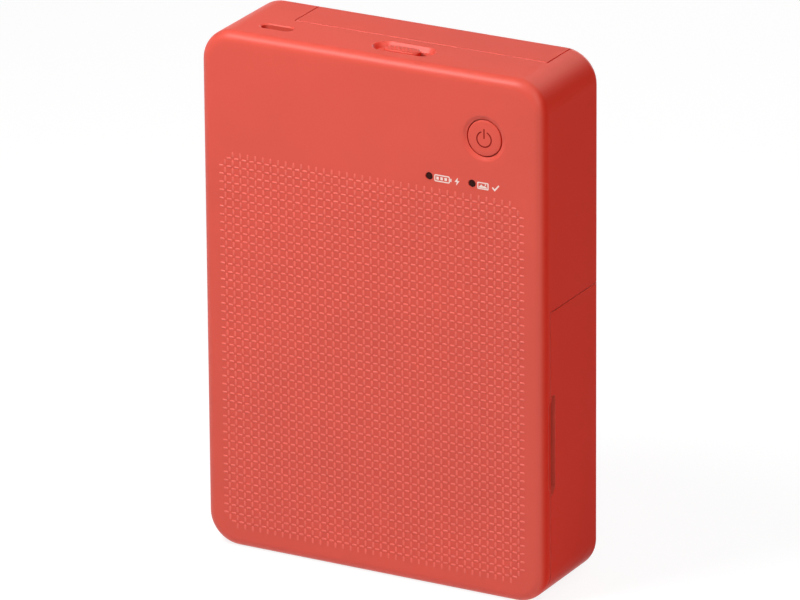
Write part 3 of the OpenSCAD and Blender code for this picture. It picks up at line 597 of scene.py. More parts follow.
def solder_mask(name, colours):
    """Green solder mask over etched copper: glossy, with paler raised tracks on a 1.3 mm
    grid and tinned vias between them."""
    material, tree, shader, coords = new_material(name, colours.mask, 0.3, 1.55)
    axes = add_node(tree, "ShaderNodeSeparateXYZ", {}, {"Vector": coords})
    patches = add_node(
        tree,
        "ShaderNodeTexNoise",
        {"Scale": 1 / (6 * MM), "Detail": 0.0},
        {"Vector": coords},
    )
    tracks = []
    for axis, low, high in (("X", 0.5, 0.53), ("Z", 0.5, 0.47)):
        cycle = add_node(
            tree,
            "ShaderNodeMath",
            {1: 1.3 * MM},
            {0: axes.outputs[axis]},
            operation="PINGPONG",
        )
        line = add_node(
            tree,
            "ShaderNodeMapRange",
            {"From Min": 0.16 * MM, "From Max": 0.22 * MM, "To Min": 1, "To Max": 0},
            {"Value": cycle.outputs[0]},
        )
        gate = add_node(
            tree,
            "ShaderNodeMapRange",
            {"From Min": low, "From Max": high},
            {"Value": patches.outputs["Fac"]},
        )
        tracks.append(
            add_node(
                tree,
                "ShaderNodeMath",
                {},
                {0: line.outputs[0], 1: gate.outputs[0]},
                operation="MULTIPLY",
            )
        )
    copper = add_node(
        tree,
        "ShaderNodeMath",
        {},
        {0: tracks[0].outputs[0], 1: tracks[1].outputs[0]},
        operation="MAXIMUM",
    )
    holes = add_node(
        tree,
        "ShaderNodeTexVoronoi",
        {"Scale": 1 / (4.5 * MM), "Randomness": 0.7},
        {"Vector": coords},
    )
    vias = add_node(
        tree,
        "ShaderNodeMapRange",
        {"From Min": 0.09, "From Max": 0.11, "To Min": 1, "To Max": 0},
        {"Value": holes.outputs["Distance"]},
    )
    masked = add_node(
        tree,
        "ShaderNodeMix",
        {6: (*colours.mask, 1), 7: (*linear("#2E8A55"), 1)},
        {0: copper.outputs[0]},
        data_type="RGBA",
    )
    tinned = add_node(
        tree,
        "ShaderNodeMix",
        {7: (*linear("#B9BAB4"), 1)},
        {0: vias.outputs[0], 6: masked.outputs[2]},
        data_type="RGBA",
    )
    bump = add_node(
        tree,
        "ShaderNodeBump",
        {"Strength": 1.0, "Distance": 0.035 * MM},
        {"Height": copper.outputs[0]},
    )
    tree.links.new(tinned.outputs[2], shader.inputs["Base Color"])
    tree.links.new(bump.outputs[0], shader.inputs["Normal"])
    return material


def moulded_epoxy(name, colours):
    """Transfer-moulded epoxy of chips: near black, matt, with a sandy surface."""
    return moulded_plastic(name, colours.epoxy, 0.25, 0.01, 0.6, 1.55)


def shrink_wrap(name, colours):
    """Shrunk PVC film round the battery: glossy, pulled into slight wrinkles."""
    material, tree, shader, coords = new_material(name, colours.wrap, 0.24, 1.54)
    pull = add_node(
        tree, "ShaderNodeMapping", {"Scale": (1, 1, 0.25)}, {"Vector": coords}
    )
    wrinkles = add_node(
        tree,
        "ShaderNodeTexNoise",
        {"Scale": 1 / (3 * MM), "Detail": 3.0, "Distortion": 0.6},
        {"Vector": pull.outputs[0]},
    )
    rough = add_node(
        tree,
        "ShaderNodeMapRange",
        {"To Min": 0.16, "To Max": 0.36},
        {"Value": wrinkles.outputs["Fac"]},
    )
    bump = add_node(
        tree,
        "ShaderNodeBump",
        {"Strength": 1.0, "Distance": 0.22 * MM},
        {"Height": wrinkles.outputs["Fac"]},
    )
    tree.links.new(rough.outputs[0], shader.inputs["Roughness"])
    tree.links.new(bump.outputs[0], shader.inputs["Normal"])
    return material


def dye_film(name, colours):
    """Thin polyester film coated with dye: glassy panels of one colour after another, with
    a black register mark between them."""
    material, tree, shader, coords = new_material(name, linear("#E8C21A"), 0.15, 1.57)
    low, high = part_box("ink_ribbon")
    axes = add_node(tree, "ShaderNodeSeparateXYZ", {}, {"Vector": coords})
    along = add_node(
        tree,
        "ShaderNodeMapRange",
        {"From Min": low.z, "From Max": high.z},
        {"Value": axes.outputs["Z"]},
    )
    panels = add_node(
        tree, "ShaderNodeValToRGB", {}, {"Fac": along.outputs[0]}
    )
    ramp = panels.color_ramp
    ramp.interpolation = "CONSTANT"
    ramp.elements[0].color = (*linear("#C0246F"), 1)
    ramp.elements[1].position = 0.56
    ramp.elements[1].color = (*linear("#E8C21A"), 1)
    mark = ramp.elements.new(0.5)
    mark.color = (*linear("#141414"), 1)
    slack = add_node(
        tree,
        "ShaderNodeTexNoise",
        {"Scale": 1 / (12 * MM), "Detail": 1.0},
        {"Vector": coords},
    )
    bump = add_node(
        tree,
        "ShaderNodeBump",
        {"Strength": 1.0, "Distance": 0.5 * MM},
        {"Height": slack.outputs["Fac"]},
    )
    tree.links.new(panels.outputs["Color"], shader.inputs["Base Color"])
    tree.links.new(bump.outputs[0], shader.inputs["Normal"])
    return material


def wound_film(name, centre):
    """Film wound on its spool: glossy outside, with its turns as fine rings on the ends.
    The film is 5 micrometres thick; the rings are drawn every 0.3 mm so that they show."""
    material, tree, shader, coords = new_material(name, linear("#26211F"), 0.3, 1.57)
    hub = add_node(
        tree,
        "ShaderNodeMapping",
        {"Location": -centre},
        {"Vector": coords},
    )
    turns = add_node(
        tree,
        "ShaderNodeTexWave",
        {"Scale": 1 / (0.3 * MM) / 20, "Distortion": 0.6, "Detail": 2.0},
        {"Vector": hub.outputs[0]},
        wave_type="RINGS",
        rings_direction="X",
    )
    mix = add_node(
        tree,
        "ShaderNodeMix",
        {6: (*linear("#191514"), 1), 7: (*linear("#4A3B33"), 1)},
        {0: turns.outputs["Fac"]},
        data_type="RGBA",
    )
    tree.links.new(mix.outputs[2], shader.inputs["Base Color"])
    return material


def gold_contacts(name, colours):
    """Hard gold plate on the socket's contacts, worn a little by plugs."""
    return worked_metal(name, linear("#D9B25A"), 0.24, (1, 1, 0.1), 0.2, 0.001)


def white_paint(name, shade, glow):
    """Matt white paint. Other surfaces are lit by it as by any paint; the camera, and what
    mirrors or glass shows, sees a shaded coat with a glow that brings it up to white."""
    material, tree, shader, coords = new_material(name, (0.86, 0.86, 0.86), 0.9)
    seen = seen_rays(tree)
    coat = add_node(
        tree,
        "ShaderNodeMix",
        {6: (0.86, 0.86, 0.86, 1), 7: (shade, shade, shade, 1)},
        {0: seen},
        data_type="RGBA",
    )
    light = add_node(tree, "ShaderNodeMath", {1: glow}, {0: seen}, operation="MULTIPLY")
    tooth = add_node(
        tree,
        "ShaderNodeTexNoise",
        {"Scale": 1 / (1.5 * MM), "Detail": 3.0},
        {"Vector": coords},
    )
    bump = add_node(
        tree,
        "ShaderNodeBump",
        {"Strength": 0.3, "Distance": 0.02 * MM},
        {"Height": tooth.outputs["Fac"]},
    )
    shader.inputs["Specular IOR Level"].default_value = 0.0
    shader.inputs["Emission Color"].default_value = (1, 1, 1, 1)
    tree.links.new(coat.outputs[2], shader.inputs["Base Color"])
    tree.links.new(light.outputs[0], shader.inputs["Emission Strength"])
    tree.links.new(bump.outputs[0], shader.inputs["Normal"])
    return material


def painted_floor(name, colours):
    """Painted board that the printer stands on: white where lit, with a pale shadow."""
    return white_paint(name, 0.25, 0.86)


def painted_wall(name, colours):
    """Painted wall far round the board, white from end to end."""
    return white_paint(name, 0.05, 0.98)


FINISHES = {
    "Coral ABS": coral_abs,
    "Coral ABS with painted highlight": highlit_dash_abs,
    "Grey ABS": grey_abs,
    "Charcoal ABS": cassette_abs,
    "Natural acetal": natural_acetal,
    "Smoked polycarbonate": smoked_polycarbonate,
    "White pad ink": white_ink,
    "Groove floor with painted shade": groove_shade_floor,
    "Ground steel": ground_steel,
    "Zinc plated sheet": zinc_plated_sheet,
    "Extruded aluminium": extruded_aluminium,
    "Drawn nickel steel": drawn_nickel_steel,
    "Glazed alumina": glazed_alumina,
    "Ground rubber": ground_rubber,
    "Solder mask": solder_mask,
    "Moulded epoxy": moulded_epoxy,
    "Shrink wrap": shrink_wrap,
    "Dye film": dye_film,
    "Gold plate": gold_contacts,
    "White floor paint": painted_floor,
    "White wall paint": painted_wall,
}


def finish(name):
    """The finish of this name, made when it is first asked for."""
    made = bpy.data.materials.get(name)
    return made or FINISHES[name](name, bpy.context.scene.printer_colours)


# ---- Shared modelling steps -----------------------------------------------------------


def dress(name, *nodes):
    """Gives construction solids this finish."""
    for node in nodes:
        solid = frame["nodes"][node]
        for place in solid.material_slots:
            place.material = finish(name)


def make_piece(bm, name, body, material, replaces=(), smooth_angle=35):
    """Turns a bmesh into a finished piece of the printer that rides on a body."""
    mesh = bpy.data.meshes.new(name)
    bm.to_mesh(mesh)
    bm.free()
    for leftover in ("custom_normal", "sharp_face"):
        if leftover in mesh.attributes:
            mesh.attributes.remove(mesh.attributes[leftover])
    mesh.materials.clear()
    mesh.materials.append(material)
    mesh.polygons.foreach_set("use_smooth", [True] * len(mesh.polygons))
    mesh.set_sharp_from_angle(angle=math.radians(smooth_angle))
    piece = bpy.data.objects.new(name, mesh)
    bpy.context.scene.collection.objects.link(piece)
    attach(piece, body)
    if replaces:
        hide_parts(*replaces)
    return piece


def body_of(node):
    return frame["nodes"][node]["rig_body"]


def clean_copy(node):
    """A bmesh of a construction solid with its triangles joined into whole faces."""
    bm = bmesh.new()
    bm.from_mesh(frame["nodes"][node].data)
    bmesh.ops.remove_doubles(bm, verts=bm.verts, dist=0.0005 * MM)
    bmesh.ops.dissolve_limit(
        bm, angle_limit=math.radians(0.15), verts=bm.verts, edges=bm.edges
    )
    return bm


def round_edges(bm, width, segments, wanted):
    """Rounds the sharp outward edges that wanted(edge) picks."""
    edges = [
        e
        for e in bm.edges
        if e.is_manifold
        and e.is_convex
        and e.calc_face_angle(0) > math.radians(28)
        and wanted(e)
    ]
    bmesh.ops.bevel(
        bm,
        geom=edges,
        offset=width,
        offset_type="OFFSET",
        affect="EDGES",
        segments=segments,
        profile=0.5,
        material=-1,
        clamp_overlap=False,
    )


def keep_flats_flat(piece):
    """Lets large faces decide the shading where they run into a rounding."""
    weighted = piece.modifiers.new("Flat faces lead", "WEIGHTED_NORMAL")
    weighted.mode = "FACE_AREA"
    weighted.weight = 80
    weighted.keep_sharp = True


def skin_distance(p):
    """How far a point lies outside the casing's outer skin, from its rounded block."""
    corner, edge = 9 * MM, 3 * MM
    half_w, half_h = CAD_BOX[1][0], CAD_BOX[1][2] / 2
    ax = abs(p.x) - (half_w - corner)
    az = abs(p.z - half_h) - (half_h - corner)
    side = math.hypot(max(ax, 0), max(az, 0)) + min(max(ax, az), 0) - corner + edge
    ay = abs(p.y - (FACE_Y + BACK_Y) / 2) - ((BACK_Y - FACE_Y) / 2 - edge)
    return math.hypot(max(side, 0), max(ay, 0)) + min(max(side, ay), 0) - edge


def on_skin_point(p):
    return abs(skin_distance(p)) < 0.02 * MM


def on_skin(edge):
    return all(on_skin_point(v.co) for v in edge.verts)


def lathe(bm, profile, centre, axis, steps):
    """Spins a profile of (radius, along) points in millimetres round an axis."""
    along = Vector(axis)
    out = Vector((0, 0, 1)) if abs(along.z) < 0.5 else Vector((1, 0, 0))
    ring = [bm.verts.new(centre + out * r * MM + along * a * MM) for r, a in profile]
    edges = [bm.edges.new(pair) for pair in zip(ring, ring[1:])]
    bmesh.ops.spin(
        bm,
        geom=ring + edges,
        cent=centre,
        axis=along,
        angle=math.tau,
        steps=steps,
        use_merge=True,
        use_duplicate=False,
    )
    bmesh.ops.remove_doubles(bm, verts=bm.verts, dist=0.0005 * MM)
    bmesh.ops.recalc_face_normals(bm, faces=bm.faces)


def slab(bm, outline, depth, rise):
    """Raises a flat outline of (across, up) points to a plate on the printer's front."""
    corners = [bm.verts.new(at(x, depth, z)) for x, z in outline]
    face = bm.faces.new(corners)
    raised = bmesh.ops.extrude_face_region(bm, geom=[face])
    top = [v for v in raised["geom"] if isinstance(v, bmesh.types.BMVert)]
    bmesh.ops.translate(bm, verts=top, vec=(0, -rise, 0))
    return corners + top


def frame_outline(bm, low, high, stroke, depth, rise, corner):
    """A raised rectangle drawn as a line of even width with rounded corners."""
    (x0, z0), (x1, z1) = low, high
    corners = [bm.verts.new(at(x, depth, z)) for x, z in
               ((x0, z0), (x1, z0), (x1, z1), (x0, z1))]
    sheet = bm.faces.new(corners)
    before = set(bm.faces) - {sheet}
    bmesh.ops.bevel(
        bm,
        geom=corners,
        offset=corner * MM,
        offset_type="OFFSET",
        affect="VERTICES",
        segments=4,
        profile=0.5,
        material=-1,
        clamp_overlap=False,
    )
    sheet = max(set(bm.faces) - before, key=lambda f: f.calc_area())
    line = bmesh.ops.inset_region(
        bm, faces=[sheet], thickness=stroke * MM, use_even_offset=True, use_boundary=True
    )["faces"]
    bmesh.ops.delete(bm, geom=[sheet], context="FACES")
    raised = bmesh.ops.extrude_face_region(bm, geom=line)
    top = [v for v in raised["geom"] if isinstance(v, bmesh.types.BMVert)]
    bmesh.ops.translate(bm, verts=top, vec=(0, -rise, 0))


def bar(bm, low, high, soften=0.0, segments=2):
    """A straight bar between two corners, with its edges rounded."""
    made = bmesh.ops.create_cube(bm, size=1.0)["verts"]
    middle = (low + high) / 2
    scale = Matrix.Diagonal((*(high - low), 1))
    bmesh.ops.transform(bm, matrix=Matrix.Translation(middle) @ scale, verts=made)
    if soften:
        edges = list({e for v in made for e in v.link_edges})
        bmesh.ops.bevel(
            bm,
            geom=edges,
            offset=soften,
            offset_type="OFFSET",
            affect="EDGES",
            segments=segments,
            profile=0.5,
            material=-1,
            clamp_overlap=False,
        )


# ---- Operators ------------------------------------------------------------------------


class PRINTER_OT_stage(bpy.types.Operator):
    """Sets the floor, the soft studio lamps, the white surroundings and the camera"""

    bl_idname = "printer.stage"
    bl_label = "Stage"

    def execute(self, context):
        scene = context.scene
        scene.view_settings.view_transform = "Standard"
        self.add_camera(scene)
        self.add_floor(scene)
        self.add_lamps(scene)
        self.add_world(scene)
        return {"FINISHED"}

    def add_camera(self, scene):
        """Long lens from the front right, a little above, as the printer was measured."""
        azimuth, elevation, roll = (math.radians(a) for a in (28.69, 20.43, -0.42))
        distance = 2237.64 * MM
        back = Vector(
            (
                math.sin(azimuth) * math.cos(elevation),
                -math.cos(azimuth) * math.cos(elevation),
                math.sin(elevation),
            )
        )
        level = Vector((math.cos(azimuth), math.sin(azimuth), 0))
        rise = back.cross(level)
        right = level * math.cos(roll) + rise * math.sin(roll)
        up = rise * math.cos(roll) - level * math.sin(roll)
        target = Vector((0, -0.45 * MM, 73.0 * MM))
        spot = target + back * distance - right * (0.10 * MM) - up * (0.14 * MM)
        lens = bpy.data.cameras.new("Camera")
        lens.sensor_width = 36
        lens.lens = 380.37
        lens.clip_start = 0.1
        lens.clip_end = 20
        camera = bpy.data.objects.new("Camera", lens)
        turn = Matrix((right, up, back)).transposed().to_4x4()
        camera.matrix_world = Matrix.Translation(spot) @ turn
        scene.collection.objects.link(camera)
        scene.camera = camera

    def add_floor(self, scene):
        """A wide round floor and, far out, the low wall that closes the view."""
        floor = bmesh.new()
        bmesh.ops.create_circle(floor, cap_ends=True, radius=9.0, segments=64)
        self.add_stage(scene, floor, "floor", "White floor paint")
        wall = bmesh.new()
        rim = bmesh.ops.create_circle(wall, radius=8.9, segments=64)["verts"]
        edges = list({e for v in rim for e in v.link_edges})
        raised = bmesh.ops.extrude_edge_only(wall, edges=edges)["geom"]
        top = [v for v in raised if isinstance(v, bmesh.types.BMVert)]
        bmesh.ops.translate(wall, verts=top, vec=(0, 0, 1.6))
        bmesh.ops.reverse_faces(wall, faces=wall.faces)
        self.add_stage(scene, wall, "backdrop", "White wall paint")

    def add_stage(self, scene, bm, name, paint):
        mesh = bpy.data.meshes.new(name)
        bm.to_mesh(mesh)
        bm.free()
        mesh.materials.append(finish(paint))
        set_piece = bpy.data.objects.new(name, mesh)
        scene.collection.objects.link(set_piece)

    def add_lamps(self, scene):
        """A soft box at the upper left front, and weak large ones right, above and behind."""
        self.add_lamp(scene, "Key", (-35, 54), 0.47, 0.19, 1.62)
        self.add_lamp(scene, "Right", (60, 33), 0.6, 0.4, 1.12)
        self.add_lamp(scene, "Top", (0, 80), 1.0, 0.6, 1.0)
        self.add_lamp(scene, "Back", (180, 10), 1.3, 0.8, 4.5)

    def add_lamp(self, scene, name, direction, distance, width, power):
        """Direction is the turn from the front to the right, and the height, in degrees."""
        turn, height = (math.radians(a) for a in direction)
        away = Vector(
            (
                math.sin(turn) * math.cos(height),
                -math.cos(turn) * math.cos(height),
                math.sin(height),
            )
        )
        lamp = bpy.data.lights.new(name, "AREA")
        lamp.shape = "SQUARE"
        lamp.size = width
        lamp.energy = power
        holder = bpy.data.objects.new(name, lamp)
        facing = away.to_track_quat("Z", "Y").to_matrix().to_4x4()
        middle = Vector((0, 0, 0.08))
        holder.matrix_world = Matrix.Translation(middle + away * distance) @ facing
        holder.visible_camera = False
        scene.collection.objects.link(holder)

    def add_world(self, scene):
        """A weak even grey light from all round."""
        world = bpy.data.worlds.new("Studio")
        world.use_nodes = True
        tree = world.node_tree
        tree.nodes.clear()
        soft = add_node(
            tree, "ShaderNodeBackground", {"Color": (1, 1, 1, 1), "Strength": 0.15}
        )
        add_node(tree, "ShaderNodeOutputWorld", {}, {"Surface": soft.outputs[0]})
        scene.world = world


class PRINTER_OT_casing(bpy.types.Operator):
    """Moulds the shell, rear panel, paper cover and ink door with softened cut edges"""

    bl_idname = "printer.casing"
    bl_label = "Casing"

    button = Vector()
    lead = 0.0

    def execute(self, context):
        sizes = context.scene.printer_sizes
        coral = finish("Coral ABS")
        for node, name, slot in (
            ("front_shell", "shell_moulding", "coral_plastic"),
            ("rear_panel", "rear_moulding", "coral_plastic"),
            ("paper_cover", "cover_moulding", "coral_plastic"),
            ("ink_door", "door_moulding", "door_plastic"),
        ):
            bm = clean_copy(node)
            if node == "front_shell":
                low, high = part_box("power_button")
                self.button = (low + high) / 2
                round_edges(bm, 0.3 * MM, 3, self.on_button_dish)
            if node == "paper_cover":
                self.lead = min(v.co.y for v in bm.verts if on_skin_point(v.co))
                round_edges(bm, sizes.seam_edge, 4, self.on_seam)
            round_edges(bm, sizes.edge, 2, on_skin)
            piece = make_piece(bm, name, body_of(node), coral, (node,))
            keep_flats_flat(piece)
        return {"FINISHED"}

    def on_seam(self, edge):
        """Whether an edge runs along the cover's seam across the upper end."""
        return on_skin(edge) and all(
            abs(v.co.y - self.lead) < 0.01 * MM for v in edge.verts
        )

    def on_button_dish(self, edge):
        return on_skin(edge) and all(
            math.hypot(v.co.x - self.button.x, v.co.z - self.button.z) < 6.6 * MM
            for v in edge.verts
        )


class PRINTER_OT_relief(bpy.types.Operator):
    """Raises the broken grid of short dashes over most of the front"""

    bl_idname = "printer.relief"
    bl_label = "Front relief"

    columns = 40
    rows = 46
    lowest = 7.5
    shift = -0.1

    def execute(self, context):
        sizes = context.scene.printer_sizes
        pitch = sizes.dash_pitch / MM
        step_z = pitch * 0.997
        half = self.columns // 2
        level = [
            (pitch * (k + 0.5) + self.shift, self.lowest + step_z * j)
            for j in range(self.rows)
            for k in range(-half, half)
            if j not in (0, self.rows - 1) or k not in (-half, half - 1)
        ]
        upright = [
            (pitch * k + self.shift, self.lowest + step_z * (j - 0.5))
            for j in range(self.rows + 1)
            for k in range(1 - half, half)
            if j not in (0, self.rows) or abs(k) != half - 1
        ]
        width = sizes.dash_width
        self.stamp("dashes_level", level, sizes.dash_across, width, 0)
        self.stamp("dashes_upright", upright, sizes.dash_upright, width, 90)
        return {"FINISHED"}

    def stamp(self, name, places, length, width, turn):
        """Repeats one dash over the front, first along its rows and then upwards."""
        rows = {}
        for x, z in places:
            rows.setdefault(z, []).append(x)
        template = self.dash(length, width, turn)
        bm = bmesh.new()
        lines = {}
        for z, line in rows.items():
            key = tuple(line)
            if key not in lines:
                lines[key] = self.row(template, line)
            self.add_moved(bm, lines[key], (0, 0, z * MM))
        for mesh in (template, *lines.values()):
            bpy.data.meshes.remove(mesh)
        # The dashes' paler coral is a painted highlight.
        make_piece(
            bm, name, "root", finish("Coral ABS with painted highlight"), smooth_angle=60
        )

    def row(self, template, line):
        """A mesh of one row of dashes at these places across."""
        bm = bmesh.new()
        for x in line:
            self.add_moved(bm, template, (x * MM, 0, 0))
        mesh = bpy.data.meshes.new("row")
        bm.to_mesh(mesh)
        bm.free()
        return mesh

    def add_moved(self, bm, mesh, step):
        """Adds a mesh to a bmesh, moved by a step."""
        step = Vector(step)
        mesh.transform(Matrix.Translation(step))
        bm.from_mesh(mesh)
        mesh.transform(Matrix.Translation(-step))

    def dash(self, length, width, turn):
        """One dash: a low bar with round ends and sloping sides, on the front's face."""
        bm = bmesh.new()
        ring = bmesh.ops.create_circle(bm, cap_ends=True, radius=width / 2, segments=10)
        bmesh.ops.rotate(
            bm, verts=ring["verts"], matrix=Matrix.Rotation(math.radians(90), 3, "Z")
        )
        for vert in ring["verts"]:
            vert.co.x += math.copysign((length - width) / 2, vert.co.x)
        face = bm.faces[:][0]
        for rise, narrow in ((0.12, 0.07), (0.06, 0.1)):
            grown = bmesh.ops.extrude_face_region(bm, geom=[face])
            bmesh.ops.delete(bm, geom=[face], context="FACES_ONLY")
            face = [f for f in grown["geom"] if isinstance(f, bmesh.types.BMFace)][0]
            for vert in face.verts:
                vert.co.z += rise * MM
                centre = math.copysign((length - width) / 2, vert.co.x)
                off = Vector((vert.co.x - centre, vert.co.y, 0))
                vert.co -= off.normalized() * narrow * MM
        bmesh.ops.rotate(
            bm, verts=bm.verts, matrix=Matrix.Rotation(math.radians(turn), 3, "Z")
        )
        bmesh.ops.rotate(
            bm, verts=bm.verts, matrix=Matrix.Rotation(math.radians(90), 3, "X")
        )
        bmesh.ops.translate(bm, verts=bm.verts, vec=(0, FRONT_Y + 0.18 * MM, 0))
        bmesh.ops.recalc_face_normals(bm, faces=bm.faces)
        mesh = bpy.data.meshes.new("dash")
        bm.to_mesh(mesh)
        bm.free()
        return mesh


class PRINTER_OT_power_button(bpy.types.Operator):
    """Turns the power button's cap and cuts the standby symbol into its face"""

    bl_idname = "printer.power_button"
    bl_label = "Power button"

    def execute(self, context):
        stroke = context.scene.printer_sizes.stroke
        low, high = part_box("power_button")
        middle = (low + high) / 2
        centre = Vector((middle.x, FRONT_Y, middle.z))
        radius = 4.93
        bm = bmesh.new()
        lathe(
            bm,
            [
                (0, 0.56), (3.4, 0.56), (radius - 0.35, 0.57), (radius - 0.17, 0.62),
                (radius - 0.05, 0.72), (radius, 0.88), (radius, 2.3), (6.2, 2.3),
                (6.2, 3.1), (1.2, 3.1), (1.2, 4.95), (0, 4.95),
            ],
            centre,
            (0, 1, 0),
            96,
        )
        cap = make_piece(
            bm, "power_cap", "power_button", finish("Coral ABS"),
            ("power_button",),
        )
        cutter = self.symbol(centre + Vector((-0.06, 0, -0.3)) * MM, stroke, 0.72, 0.3)
        self.cut(cap, cutter)
        # The groove's floor, dark red in painted shade.
        floor = self.symbol(centre + Vector((-0.06, 0, -0.3)) * MM, stroke, 0.73, 0.62)
        make_piece(
            floor, "standby_groove", "power_button", finish("Groove floor with painted shade"),
        )
        return {"FINISHED"}

    def symbol(self, centre, stroke, back, front):
        """The standby sign, a ring open at the top with a bar, from front to back depth."""
        bm = bmesh.new()
        half, ring = stroke / 2, 2.1 * MM
        depth = Vector((0, front * MM, 0))
        thick = (back - front) * MM
        start = math.radians(22)
        corners = [
            centre + depth + Vector((0, dy, ring + dr))
            for dr, dy in ((-half, 0), (half, 0), (half, thick), (-half, thick))
        ]
        verts = [bm.verts.new(c) for c in corners]
        bmesh.ops.rotate(
            bm, verts=verts, cent=centre, matrix=Matrix.Rotation(start, 3, "Y")
        )
        face = bm.faces.new(verts)
        spun = bmesh.ops.spin(
            bm,
            geom=[face, *face.edges, *face.verts],
            cent=centre,
            axis=(0, 1, 0),
            angle=math.tau - 2 * start,
            steps=56,
            use_merge=False,
            use_duplicate=False,
        )
        if not spun["geom_last"]:
            raise RuntimeError("the standby ring didn't spin")
        bar(
            bm,
            centre + depth + Vector((-half, 0, 0.15 * MM)),
            centre + depth + Vector((half, thick, 2.85 * MM)),
        )
        bmesh.ops.recalc_face_normals(bm, faces=bm.faces)
        return bm

    def cut(self, cap, cutter):
        """Takes the symbol out of the cap's face."""
        mesh = bpy.data.meshes.new("symbol_tool")
        cutter.to_mesh(mesh)
        cutter.free()
        tool = bpy.data.objects.new("symbol_tool", mesh)
        bpy.context.scene.collection.objects.link(tool)
        groove = cap.modifiers.new("Groove", "BOOLEAN")
        groove.operation = "DIFFERENCE"
        groove.solver = "EXACT"
        groove.object = tool
        shown = cap.evaluated_get(bpy.context.evaluated_depsgraph_get())
        result = bpy.data.meshes.new_from_object(shown)
        cap.modifiers.clear()
        before = cap.data
        cap.data = result
        bpy.data.meshes.remove(before)
        result.name = cap.name
        bpy.data.objects.remove(tool)
        bpy.data.meshes.remove(mesh)
        result.set_sharp_from_angle(angle=math.radians(35))


class PRINTER_OT_indicators(bpy.types.Operator):
    """Makes the two indicator lenses and prints a sign beside each"""

    bl_idname = "printer.indicators"
    bl_label = "Indicator lights"

    def execute(self, context):
        ink = context.scene.printer_sizes.ink
        for node, name in (("charge_light", "charge_lens"), ("status_light", "status_lens")):
            low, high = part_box(node)
            middle = (low + high) / 2
            bm = bmesh.new()
            lathe(
                bm,
                [
                    (0, 0.17), (0.4, 0.18), (0.72, 0.22), (0.9, 0.29), (0.98, 0.38),
                    (1.0, 0.5), (1.0, 2.02), (1.6, 2.02), (1.6, 2.9), (0.9, 2.9),
                    (0.9, 5.4), (0, 5.4),
                ],
                Vector((middle.x, FRONT_Y, middle.z)),
                (0, 1, 0),
                48,
            )
            make_piece(
                bm, name, body_of(node), finish("Smoked polycarbonate"), (node,),
                smooth_angle=45,
            )
        white = finish("White pad ink")
        make_piece(self.charge_sign(ink), "charge_sign", "root", white)
        make_piece(self.status_sign(ink), "status_sign", "root", white)
        return {"FINISHED"}

    def charge_sign(self, ink):
        """A battery with three bars of charge, and a bolt."""
        bm = bmesh.new()
        x, z, depth = 19.0, 115.4, 0.152
        frame_outline(bm, (x, z - 0.98), (x + 4.6, z + 0.98), 0.3, depth, ink, 0.4)
        slab(bm, self.box_points(x + 4.72, z - 0.42, 0.36, 0.84), depth, ink)
        for k in range(3):
            slab(bm, self.box_points(x + 0.62 + 1.2 * k, z - 0.4, 0.72, 0.8), depth, ink)
        bolt = [(0.24, 1.12), (-0.74, -0.17), (-0.1, -0.17), (-0.3, -1.12),
                (0.74, 0.2), (0.08, 0.2)]
        slab(bm, [(x + 6.75 + px, z + pz) for px, pz in bolt], depth, ink)
        bmesh.ops.recalc_face_normals(bm, faces=bm.faces)
        return bm

    def status_sign(self, ink):
        """A picture with hills and a sun, and a tick."""
        bm = bmesh.new()
        x, z, depth = 31.7, 115.4, 0.152
        frame_outline(bm, (x, z - 0.98), (x + 3.3, z + 0.98), 0.3, depth, ink, 0.3)
        hills = [(0.5, -0.56), (2.8, -0.56), (2.8, -0.32), (2.1, 0.1), (1.74, -0.14),
                 (1.2, 0.38), (0.5, -0.3)]
        slab(bm, [(x + px, z + pz) for px, pz in hills], depth, ink)
        sun = [(2.4 + 0.22 * math.cos(a), 0.4 + 0.22 * math.sin(a))
               for a in (math.tau * k / 12 for k in range(12))]
        slab(bm, [(x + px, z + pz) for px, pz in sun], depth, ink)
        tick = [(0, -0.1), (0.27, 0.19), (0.78, -0.36), (1.9, 0.92), (2.17, 0.66),
                (0.8, -0.94)]
        slab(bm, [(x + 4.3 + px, z + pz) for px, pz in tick], depth, ink)
        bmesh.ops.recalc_face_normals(bm, faces=bm.faces)
        return bm

    def box_points(self, x, z, width, height):
        return [(x, z), (x + width, z), (x + width, z + height), (x, z + height)]


